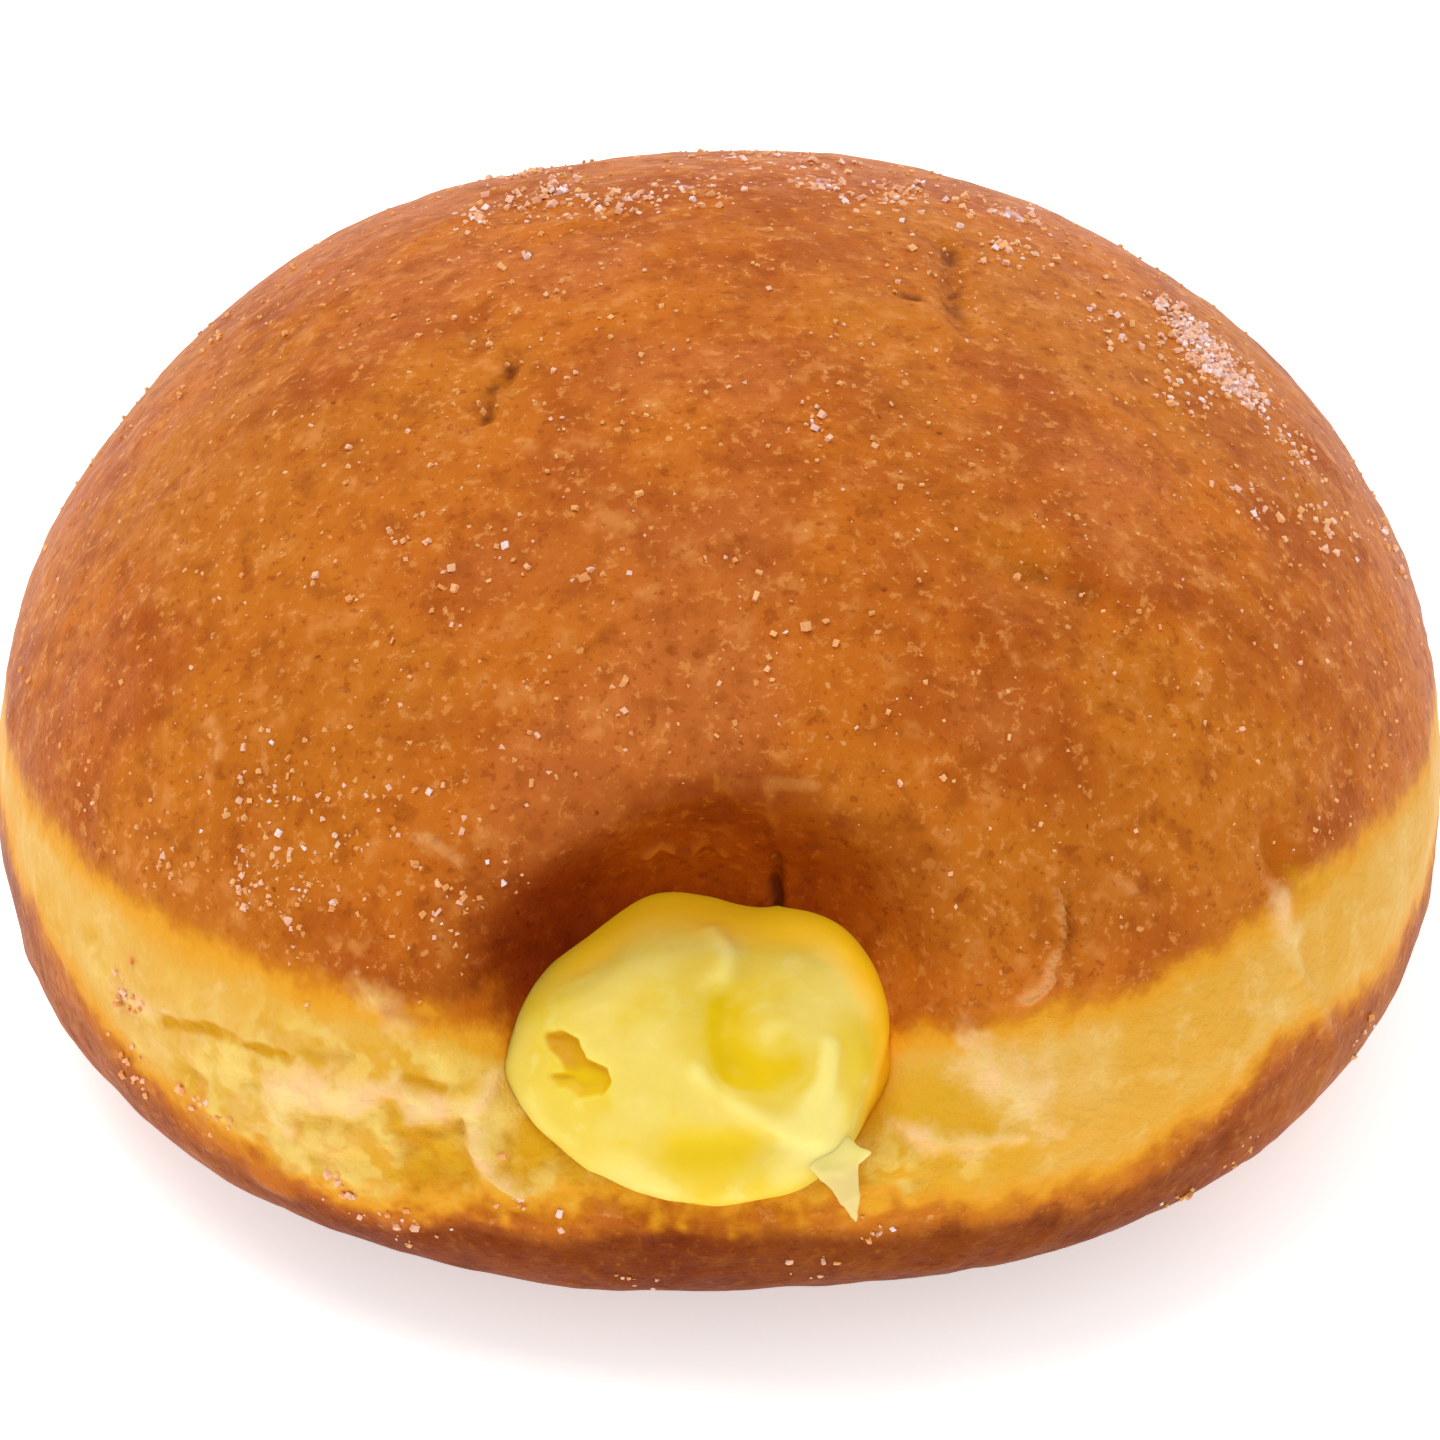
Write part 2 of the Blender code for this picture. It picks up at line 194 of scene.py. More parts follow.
# A sum of slow sine waves, drawn once from the seed.
def swelling(points):
    b = bunShape
    rng = np.random.default_rng(b["swellSeed"])
    directions = unit(rng.normal(size=(b["swellWaves"], 3)))
    lengths = rng.uniform(*b["swellLength"], b["swellWaves"])
    phases = rng.uniform(0, 2 * math.pi, b["swellWaves"])
    waves = directions * (2 * math.pi / lengths)[:, None]
    return b["swellHeight"] * np.sin(points @ waves.T + phases).sum(axis=-1)


# Plain bun plus swelling, with the front pushed inwards inside the rim: a steep wall under a soft
# brow above the mouth, a rounded lip elsewhere. The base is cut flat.
def bunSkin(directions):
    m = mouthShape
    plain = plainBun(directions)
    points = plain + directions * swelling(plain)[..., None]
    x, z = plain[..., 0] - m["x"], plain[..., 2] - m["z"]
    angle, reach = np.arctan2(z, x), np.hypot(x, z)
    rim = aroundRing(angle, m["rimReach"])
    throat = aroundRing(angle, m["custardReach"]) - m["throatInset"]
    inwards = np.clip((rim - reach) / (rim - throat), 0, 1)
    lip = 1 - np.sqrt(1 - inwards**2)
    soft = aroundRing(angle, m["rimSoftness"])
    brow = (np.hypot(inwards, soft) - soft) / (np.hypot(1, soft) - soft)
    wall = 1 - (1 - brow) ** m["wallPower"]
    upper = smoothBetween(*m["browTurn"], np.sin(angle))
    depth = aroundRing(angle, m["hollowDepth"]) * (lip * (1 - upper) + wall * upper)
    points[..., 1] += np.where(plain[..., 1] < 0, depth, 0)
    points[..., 2] = np.maximum(points[..., 2], -bunShape["baseHeight"])
    return points


# Unit directions at an angle away from the mouth's axis and a turn round it.
def mouthDirections(away, turn):
    m = mouthShape
    towards = unit(np.array((m["x"], -bunShape["halfWidth"], m["z"])))
    side = unit(np.cross(towards, (0, 0, 1)))
    upward = np.cross(side, towards)
    flat = np.cos(turn)[..., None] * side + np.sin(turn)[..., None] * upward
    return np.cos(away)[..., None] * towards + np.sin(away)[..., None] * flat


# Surface normals of a grid that closes along its second axis, from neighbour differences.
def gridNormals(points):
    down = np.gradient(points, axis=0)
    across = np.roll(points, -1, axis=1) - np.roll(points, 1, axis=1)
    return unit(np.cross(across, down))


# A closed mesh from a grid of rows, with a single point at either end. Points come in millimetres
# from the widest level. Extra values become float attributes.
def gridPiece(name, points, extras):
    rows, columns = points.shape[:2]
    body = points[1:-1].reshape(-1, 3)
    ends = np.stack([points[0].mean(axis=0), points[-1].mean(axis=0)])
    vertices = (np.concatenate([body, ends]) + (0, 0, bunShape["baseHeight"])) * mm
    index = np.arange((rows - 2) * columns).reshape(rows - 2, columns)
    nextColumn = np.roll(index, -1, axis=1)
    quads = np.stack([index[:-1], nextColumn[:-1], nextColumn[1:], index[1:]], axis=-1).reshape(-1, 4)
    first, last = len(body), len(body) + 1
    caps = [(first, b, a) for a, b in zip(index[0].tolist(), nextColumn[0].tolist())]
    caps += [(last, a, b) for a, b in zip(index[-1].tolist(), nextColumn[-1].tolist())]
    mesh = bpy.data.meshes.new(name)
    mesh.from_pydata(vertices.tolist(), [], quads.tolist() + caps)
    for label, grid in extras.items():
        values = np.concatenate([grid[1:-1].ravel(), [grid[0].mean(), grid[-1].mean()]])
        addAttribute(mesh, label, values)
    return finishPiece(name, mesh)


# One number for each vertex, which a material can read.
def addAttribute(mesh, label, values):
    layer = mesh.attributes.new(label, "FLOAT", "POINT")
    layer.data.foreach_set("value", values.astype(np.float32))


# Faces are turned outwards where the mesh came out inside out, and shaded smooth.
def finishPiece(name, mesh):
    mesh.update()
    mesh.calc_loop_triangles()
    corners = np.empty(len(mesh.vertices) * 3)
    mesh.vertices.foreach_get("co", corners)
    triangles = np.empty(len(mesh.loop_triangles) * 3, np.int32)
    mesh.loop_triangles.foreach_get("vertices", triangles)
    a, b, c = corners.reshape(-1, 3)[triangles.reshape(-1, 3)].transpose(1, 0, 2)
    if np.einsum("ij,ij->i", a, np.cross(b, c)).sum() < 0:
        mesh.flip_normals()
    mesh.shade_smooth()
    piece = bpy.data.objects.new(name, mesh)
    bpy.context.scene.collection.objects.link(piece)
    return piece


# Node helpers: a node with its settings, and links given as an output and an input.
def newMaterial(name):
    made = bpy.data.materials.new(name)
    made.use_nodes = True
    made.node_tree.nodes.clear()
    return made, made.node_tree


def addNode(tree, kind, **settings):
    node = tree.nodes.new(kind)
    for key, value in settings.items():
        setattr(node, key, value)
    return node


def setSockets(node, values):
    for key, value in values.items():
        node.inputs[key].default_value = value
    return node


# A number or a colour is set on the socket; another node's output is linked to it.
def feedSocket(tree, socket, value):
    if isinstance(value, (int, float)):
        socket.default_value = value
    elif isinstance(value, tuple):
        socket.default_value = (*value, 1)
    else:
        tree.links.new(value, socket)


def objectCoordinates(tree):
    return addNode(tree, "ShaderNodeTexCoord").outputs["Object"]


def noiseNode(tree, vector, scale, detail, roughness):
    node = addNode(tree, "ShaderNodeTexNoise")
    setSockets(node, {"Scale": scale, "Detail": detail, "Roughness": roughness})
    tree.links.new(vector, node.inputs["Vector"])
    return node.outputs["Fac"]


# Noises by name, each from its scale, detail and roughness.
def namedNoises(tree, place, rows):
    return {name: noiseNode(tree, place, *row) for name, row in rows.items()}


# Coordinates pushed about by a noise's colour, up to half the amount each way.
def warpNode(tree, vector, scale, amount):
    noise = setSockets(addNode(tree, "ShaderNodeTexNoise"), {"Scale": scale, "Detail": 2.0})
    tree.links.new(vector, noise.inputs["Vector"])
    centre = addNode(tree, "ShaderNodeVectorMath", operation="SUBTRACT")
    tree.links.new(noise.outputs["Color"], centre.inputs[0])
    centre.inputs[1].default_value = (0.5, 0.5, 0.5)
    push = addNode(tree, "ShaderNodeVectorMath", operation="MULTIPLY_ADD")
    tree.links.new(centre.outputs[0], push.inputs[0])
    push.inputs[1].default_value = (amount, amount, amount)
    tree.links.new(vector, push.inputs[2])
    return push.outputs[0]


def mathNode(tree, operation, first, second):
    node = addNode(tree, "ShaderNodeMath", operation=operation)
    feedSocket(tree, node.inputs[0], first)
    feedSocket(tree, node.inputs[1], second)
    return node.outputs[0]


def times(tree, first, second):
    return mathNode(tree, "MULTIPLY", first, second)


def plus(tree, first, second):
    return mathNode(tree, "ADD", first, second)


# A value stretched from one range to another, held at both ends.
def stretchNode(tree, value, low, high, toLow=0.0, toHigh=1.0, smooth=True):
    node = addNode(tree, "ShaderNodeMapRange", interpolation_type="SMOOTHSTEP" if smooth else "LINEAR")
    setSockets(node, {"From Min": low, "From Max": high, "To Min": toLow, "To Max": toHigh})
    tree.links.new(value, node.inputs["Value"])
    return node.outputs["Result"]


# Round spots: a share of a Voronoi pattern's cells holds one each, of up to this radius in cells.
def spotNode(tree, vector, scale, share, radius):
    cells = setSockets(addNode(tree, "ShaderNodeTexVoronoi"), {"Scale": scale})
    tree.links.new(vector, cells.inputs["Vector"])
    parts = addNode(tree, "ShaderNodeSeparateColor")
    tree.links.new(cells.outputs["Color"], parts.inputs["Color"])
    chosen = mathNode(tree, "LESS_THAN", parts.outputs["Red"], share)
    size = stretchNode(tree, parts.outputs["Green"], 0, 1, 0.4 * radius, radius, smooth=False)
    disc = stretchNode(tree, mathNode(tree, "DIVIDE", cells.outputs["Distance"], size), 1.0, 0.45)
    return times(tree, chosen, disc)


def mixColours(tree, share, first, second, blend="MIX"):
    node = addNode(tree, "ShaderNodeMix", data_type="RGBA", blend_type=blend)
    for number, value in ((0, share), (6, first), (7, second)):
        feedSocket(tree, node.inputs[number], value)
    return node.outputs[2]


# A colour changed row by row. Each row holds the name of a value, where it starts and ends to
# count, the name of the colour that it brings and how much of that colour there is at most.
def addTints(tree, tone, values, look, rows):
    for value, low, high, name, most in rows:
        tone = mixColours(tree, stretchNode(tree, values[value], low, high, 0, most), tone, look[name])
    return tone


def attributeNode(tree, name):
    return addNode(tree, "ShaderNodeAttribute", attribute_name=name).outputs["Fac"]


def bumpNode(tree, height, strength, distance):
    node = addNode(tree, "ShaderNodeBump")
    setSockets(node, {"Strength": strength, "Distance": distance})
    tree.links.new(height, node.inputs["Height"])
    return node.outputs["Normal"]


# The shader takes constants on its own sockets; roughness and a painted glow may be linked as well.
def finishMaterial(tree, colour, normal, settings, roughness=None, paintedGlow=None):
    shader = setSockets(addNode(tree, "ShaderNodeBsdfPrincipled"), settings)
    output = addNode(tree, "ShaderNodeOutputMaterial")
    tree.links.new(colour, shader.inputs["Base Color"])
    tree.links.new(normal, shader.inputs["Normal"])
    if roughness is not None:
        tree.links.new(roughness, shader.inputs["Roughness"])
    if paintedGlow is not None:
        tree.links.new(paintedGlow, shader.inputs["Emission Color"])
    tree.links.new(shader.outputs["BSDF"], output.inputs["Surface"])


# The skin's grid and its relief, in millimetres. Rough layers are rows for layeredNoise.
skinRelief = {
    "columns": 424,
    "outerRows": 212,
    "innerRows": 16,
    "throatGap": -0.3,
    "evenShare": 0.3,
    "stepPower": 1.9,
    "fadeLength": 0.012,
    "pocketGap": 0.32,
    "rough": ((0.2, 9.0, 60, 2), (0.18, 3.2, 62, 2), (0.14, 1.4, 64, 1)),
    "crustStep": 0.16,
    "bandDip": 0.7,
    "lineLeast": 0.7,
    "lineVaries": (0.5, 2.0, 70),
    "patchHeight": 0.8,
    "tornHeight": 0.6,
    "tornMiddle": (-12.0, 0.5),
    "tornReach": (25.5, 7.5),
    "tornSquash": (1, 1, 1.6),
    "tornRough": (2.6, 82, 3, 0.6),
    "tornRagged": ((0.5, 4.0, 80),),
    "custardRagged": ((0.5, 3.0, 94),),
    "rimRagged": ((0.15, 4.0, 90),),
}

# Where each zone of the skin begins and where it is complete. The first ones are in millimetres,
# the next in shares of the reach of the torn dough, the custard or the rim, and the last in the
# sine of the turn round the mouth.
skinZones = {
    "mouthSide": (20, 16),
    "patch": (-0.4, 0.5),
    "goldenSide": (6.5, 9.5),
    "goldenHeight": (14, 10),
    "hollowShade": (0.3, 5.0),
    "crestSide": (-7, -1),
    "leftHollowShadeSide": (-3, -9),
    "undersideShade": (0.2, 2.2),
    "undersideEnds": (20, 36),
    "torn": (1.1, 0.7),
    "besideMouth": (2.2, 1.1),
    "crestOuter": (1.06, 0.98),
    "crestInner": (0.6, 0.85),
    "browShade": (2.1, 1.3),
    "rimShade": (1.15, 0.88),
    "leftHollowShade": (0.98, 0.75),
    "crestTurn": (0.5, 0.85),
    "upper": (-0.1, 0.4),
}

# How dark the painted shade on the brow, the rim and the crest is, how much of the painted shade in
# and above the hollow is left out at the right of the mouth, where the crust stays golden, and how
# much the bun's ends take from the painted shade of the underside.
skinShares = {
    "browShade": 0.1,
    "rimShade": 0.42,
    "crestShade": 0.48,
    "goldenHollow": 0.85,
    "goldenShade": 0.8,
    "undersideEnds": 0.5,
}

# Creases and folds: half width, rise or fall, how much lighter or darker each one is, and the
# points that it follows. Darker is painted shade in a crease; lighter is a painted highlight on a
# raised fold, on some folds also pale torn dough.
skinLines = (
    # the slit in the band, left of the mouth
    (0.42, -0.25, -1.0, ((-31.3, -32.3, 2.5), (-28.7, -34.3, 3.8), (-27, -35.6, 4.1), (-24.3, -37.4, 4.2))),
    (0.7, 0.25, 0.15, ((-30.4, -32.8, 4.0), (-28.3, -34.2, 5.0), (-26, -36, 5.1))),
    (0.45, -0.4, -0.35, ((-22.9, -38.0, 4.8), (-20.4, -39.2, 5.3))),
    (0.42, -0.25, -0.65,
     ((-17.1, -40.6, 5.2), (-15.3, -41.2, 4.9), (-13.7, -41.6, 5.3), (-12.1, -41.8, 6.1))),
    # the crown: creases, a groove with a pit, and a low ridge
    (0.6, -0.6, -0.75, ((-11.8, -6.9, 31), (-12.1, -8.5, 30.7), (-13.2, -9.5, 30.3), (-13.3, -11.7, 29.8))),
    (1.1, -0.4, -0.3, ((-14.3, -1.8, 30.7), (-14.5, -5.6, 30.4))),
    (0.8, -0.7, -0.65, ((13.7, 6.6, 30.6), (13.6, -0.2, 30.9), (14.2, -3.4, 30.7))),
    (0.55, -0.5, -1.0, ((10.6, -0.8, 31.6), (11.5, -0.8, 31.4))),
    (0.9, 0.3, 0.2, ((4.4, -4.5, 32.3), (8.7, -2.4, 31.9), (12, -2.3, 31.3), (13.9, -4.3, 30.7))),
    # the soft crescent on the right of the crown
    (1.3, -0.7, -0.38, ((16.3, -21.4, 25.8), (18.9, -20.9, 25.2), (20.0, -21.1, 24.6))),
    (1.1, -0.45, -0.22,
     ((21.1, -21.5, 23.9), (21.3, -23.7, 22.7), (22.1, -25.5, 21.2), (24.6, -26.1, 19.3))),
    (1.8, 0.45, 0.2, ((14, -25, 24.4), (17.5, -25.2, 23.2), (18.5, -28.5, 20.6))),
    # flakes and folds on the right, down to the band
    (0.55, -0.3, -0.2, ((18.2, -35.7, 14.2), (19.6, -35, 14.1), (20.7, -34.5, 14.1))),
    (0.5, 0.35, 0.5, ((20.9, -34.3, 14.6), (21.9, -34.1, 13.7), (22.7, -34.1, 13))),
    (0.38, 0.6, 0.8,
     ((18.1, -35.6, 14.3), (18.4, -36.3, 13.2), (18.5, -36.7, 12.5), (18.4, -37.2, 11.8),
      (17.7, -37.9, 11.1), (17.6, -38.4, 10.3), (17.2, -38.7, 9.9), (16.6, -39.1, 9.7))),
    (0.4, -0.45, -0.45, ((18.9, -35.9, 13.3), (19.1, -36.7, 12.2), (18.9, -37.2, 11.5))),
    (0.36, 0.3, 0.4, ((19.6, -35.8, 13.4), (19.8, -36.3, 12.5), (19.5, -36.9, 11.7))),
    (0.36, 0.35, 0.4, ((16.3, -39.2, 9.7), (15.0, -39.7, 9.7), (12.2, -40.3, 10.1), (11.7, -40.2, 10.5))),
    # the peel at the far right
    (0.9, -0.4, 0.0, ((31, -27.5, 12.6), (31.4, -28.6, 10.8))),
    (0.55, 0.4, 0.45, ((32.6, -30.5, 4.6), (34.3, -29.3, 1), (35.4, -27.9, -3))),
    (0.6, 0.35, 0.3, ((32.2, -27.4, 12.6), (33.6, -26.8, 11.4), (33.9, -27.4, 9.8))),
    # the left lobe beside the hollow
    (0.38, 0.45, 0.6,
     ((-16.6, -34.2, 16.8), (-15.8, -34.4, 16.9), (-15.1, -34.9, 16.7), (-13.9, -35.7, 16.2),
      (-12.9, -36.5, 15.6), (-11.3, -37.4, 15.0))),
    (0.38, 0.35, 0.5, ((-9.3, -36.9, 16.3), (-8.8, -36.4, 17.0), (-8.7, -35.9, 17.6))),
    (0.5, 0.35, 0.65,
     ((-28.7, -25.1, 16.9), (-27.9, -24.7, 18), (-27.5, -26.5, 16.9), (-28.1, -27.3, 15.8))),
    # inside the hollow: two short wrinkles, a crease, a streak below the crest and a painted highlight along
    # the crest
    (0.42, 0.45, 0.9, ((-4.1, -32.6, 14.7), (-3.3, -32.9, 15.7), (-2.2, -32.2, 14.4))),
    (0.42, 0.45, 0.9, ((-1.6, -32.2, 14.6), (-0.8, -32.8, 15.8), (0.3, -32.3, 14.4))),
    (0.46, -0.7, -0.8, ((3, -33, 14.5), (3, -32.7, 12.5), (3.2, -32.9, 11))),
    (0.5, 0.25, 0.6, ((2.7, -34.5, 19.9), (2.9, -34.2, 18.4), (3, -33.6, 16.6))),
    (0.42, 0.3, 0.75, ((0.2, -34.3, 20.7), (3, -34.2, 20.6), (5.2, -34.2, 20.3))),
)

# Patches of the band: their kind, rise or fall, the softness of their edge, and their outline in x
# and height on its front. Torn crumb is paler and stands a little proud; where a flap came away
# the dough is golden and lies lower, and its darker gold in the pits, beside the custard and under
# a ledge is painted shade. The brown patch right of the mouth is partly painted shade under the
# crust's lip.
bandPatches = (
    ("pale", 0.3, 1.0,
     ((-25.4, 2.5), (-23.2, 3.9), (-20.6, 4.2), (-17.5, 5.3), (-17.4, 4.5), (-19.2, 3.0), (-20.3, 1.6),
      (-21.5, 1.8), (-23.9, 0.4), (-24.3, -1.4), (-25.1, 0.4))),
    ("pale", 0.25, 1.0,
     ((-17.5, 4.9), (-15.3, 4.6), (-13.6, 4.8), (-14.1, 3.9), (-15.3, 2.7), (-17.3, 2.4), (-17.8, 3.4))),
    ("pale", 0.75, 1.0,
     ((-14.4, 4.3), (-13.2, 5.3), (-12.0, 5.5), (-12.7, 4.1), (-12.9, 2.7), (-12.4, 1.8), (-12.1, 0.5),
      (-10.3, -0.6), (-10.9, -1.3), (-12.1, -0.6), (-13.2, 0.6), (-13.8, 2.2))),
    ("pale", 0.3, 1.0,
     ((-34.6, 2.4), (-33.1, 3.2), (-32.1, 3.1), (-31.2, 3.3), (-32.2, 1.9), (-33.5, 1.8))),
    ("pale", 0.3, 1.5,
     ((-19.7, 9.8), (-18.6, 9.7), (-17.5, 9.2), (-16.5, 8.6), (-16.7, 7.5), (-17.9, 7.4), (-18.4, 8.4),
      (-19.4, 8.5))),
    ("pale", 0.25, 2.2,
     ((13.0, 8.2), (14.4, 8.2), (15.8, 6.4), (17.7, 5.0), (17.9, 1.5), (15.3, 2.8), (14.4, 4.5),
      (13.3, 6.5))),
    ("pale", 0.5, 1.4,
     ((9.5, 3.7), (11.2, 3.8), (13.1, 3.0), (16.7, 2.5), (17.0, 1.5), (14.5, 1.7), (12.0, 2.0),
      (10.1, 2.8))),
    ("pale", 0.5, 1.0,
     ((30.8, 10.0), (31.6, 9.5), (32.1, 7.5), (32.7, 6.9), (32.7, 4.5), (32.1, 4.3), (31.4, 6.7),
      (30.7, 8.5))),
    ("gold", -0.9, 1.0,
     ((-18.1, 1.8), (-16.4, 2.4), (-15.0, 2.8), (-14.0, 3.4), (-13.9, 1.8), (-13.7, 0.5), (-13.3, -0.8),
      (-14.6, -1.5), (-16.0, -1.5), (-16.9, -2.3), (-17.6, -1.2), (-17.8, 0.5))),
    ("gold", -0.7, 1.0,
     ((-11.9, 2.9), (-10.3, 3.4), (-9.5, 3.7), (-8.9, 3.0), (-8.1, 1.9), (-8.7, 1.0), (-10.4, 0.2),
      (-11.8, 0.9))),
    ("gold", -0.3, 1.0, ((-23.8, 0.4), (-21.0, 2.0), (-20.4, 1.5), (-23.3, -0.2))),
    ("brown", -0.6, 1.0,
     ((30.4, 13.0), (32.0, 12.3), (32.2, 10.5), (31.8, 9.9), (30.7, 10.6), (30.2, 12.0))),
    ("gold", -0.2, 1.0, ((31.8, 10.4), (33.3, 9.3), (35.5, 8.3), (35.0, 7.6), (32.6, 8.2), (31.8, 9.4))),
    ("brown", 0.3, 1.0,
     ((-26.7, -3.3), (-25.3, -3.3), (-23.5, -2.9), (-23.7, -5.8), (-25.9, -6.1), (-26.8, -5.3))),
    ("brown", 0.0, 1.3, ((9.6, 11.6), (10.7, 11.5), (12.0, 10.2), (11.2, 9.7), (10.3, 9.2), (9.6, 9.0))),
    ("brown", 0.1, 1.0,
     ((-18.5, 9.1), (-15.7, 9.2), (-12.4, 9.7), (-11.9, 8.8), (-13.6, 8.0), (-16.3, 8.1), (-18.3, 8.1))),
)
farOutside = -4.0


# For each turn round the mouth, the angle from its axis at which the skin meets the custard:
# halving steps between the axis and the search angle.
def throatAngles(turn, gap):
    m = mouthShape
    low, high = np.zeros_like(turn), np.full_like(turn, math.radians(m["searchAngle"]))
    for _ in range(m["searchSteps"]):
        middle = (low + high) / 2
        plain = plainBun(mouthDirections(middle, turn))
        x, z = plain[..., 0] - m["x"], plain[..., 2] - m["z"]
        outside = np.hypot(x, z) > aroundRing(np.arctan2(z, x), m["custardReach"]) + gap
        high = np.where(outside, middle, high)
        low = np.where(outside, low, middle)
    return high


# Skin rows run from the throat to the back, close together near the mouth: steps grow with a power.
# Behind the throat the wall of the pocket follows the filling. Relief is added along the normals.
def makeBun():
    r = skinRelief
    turn = np.linspace(0, 2 * math.pi, r["columns"], endpoint=False)
    start = throatAngles(turn, r["throatGap"])
    steps = np.linspace(0, 1, r["outerRows"])
    steps = r["evenShare"] * steps + (1 - r["evenShare"]) * steps ** r["stepPower"]
    away = start + (math.pi - start) * steps[:, None]
    turns = np.broadcast_to(turn, away.shape)
    skin = bunSkin(mouthDirections(away, turns))
    heights, extras = skinHeights(skin)
    fade = smoothBetween(0, r["fadeLength"], steps)[:, None]
    skin = skin + gridNormals(skin) * outwardSign(skin) * (heights * fade)[..., None]
    skin[..., 2] = np.maximum(skin[..., 2], -bunShape["baseHeight"])

    throat = skin[0]
    angle = np.arctan2(throat[:, 2] - mouthShape["z"], throat[:, 0] - mouthShape["x"])
    share = np.linspace(1, 0, r["innerRows"], endpoint=False)[:, None]
    pocket = fillingPoints(share, angle, r["pocketGap"])
    join = smoothBetween(0, fillingShape["neckShare"], share)[..., None]
    pocket = throat + (pocket - throat) * join
    inner = {label: np.full(pocket.shape[:2], pocketLook[label]) for label in extras}
    whole = {label: np.concatenate([inner[label], grid]) for label, grid in extras.items()}
    return gridPiece("bun", np.concatenate([pocket, skin]), whole)


# Normals point away from the middle of the bun.
def outwardSign(points):
    normals = gridNormals(points)
    return 1.0 if np.einsum("ijk,ijk->", normals, points) > 0 else -1.0


# The filling: a flattened ball behind the mouth, in steps from the neck to its far end.
fillingShape = {
    "halfWidth": 20.0,
    "halfHeight": 8.2,
    "halfLength": 20.0,
    "y": -8.0,
    "z": 5.0,
    "fullness": 0.6,
    "neckSwing": 0.32,
    "neckShare": 0.16,
}


# Sideways and upwards it reaches sin(swing)^fullness, forwards cos(swing), each with the gap added.
def fillingPoints(back, angle, gap):
    f = fillingShape
    swing = f["neckSwing"] + back * (math.pi - f["neckSwing"])
    width = np.sin(swing) ** f["fullness"]
    x = mouthShape["x"] + (f["halfWidth"] + gap) * width * np.cos(angle)
    z = f["z"] + (f["halfHeight"] + gap) * width * np.sin(angle)
    y = f["y"] - (f["halfLength"] + gap) * np.cos(swing)
    return np.stack(np.broadcast_arrays(x, y, z), axis=-1)


# What the skin's material reads on the wall of the pocket.
pocketLook = {
    "aboveTop": -3.0,
    "belowBottom": -3.0,
    "paleCrumb": 0.0,
    "goldCrumbAndShade": farOutside,
    "brownCrumbAndShade": farOutside,
    "torn": 1.0,
    "besideMouth": 1.0,
    "hollowShade": 0.0,
    "shade": 0.0,
    "leftHollowShade": 0.0,
    "undersideShade": 0.0,
    "creaseShadeAndFoldLight": 0.0,
    "frost": 0.0,
}


# How far a value has come through a named zone.
def inZone(name, value):
    return smoothBetween(*skinZones[name], value)
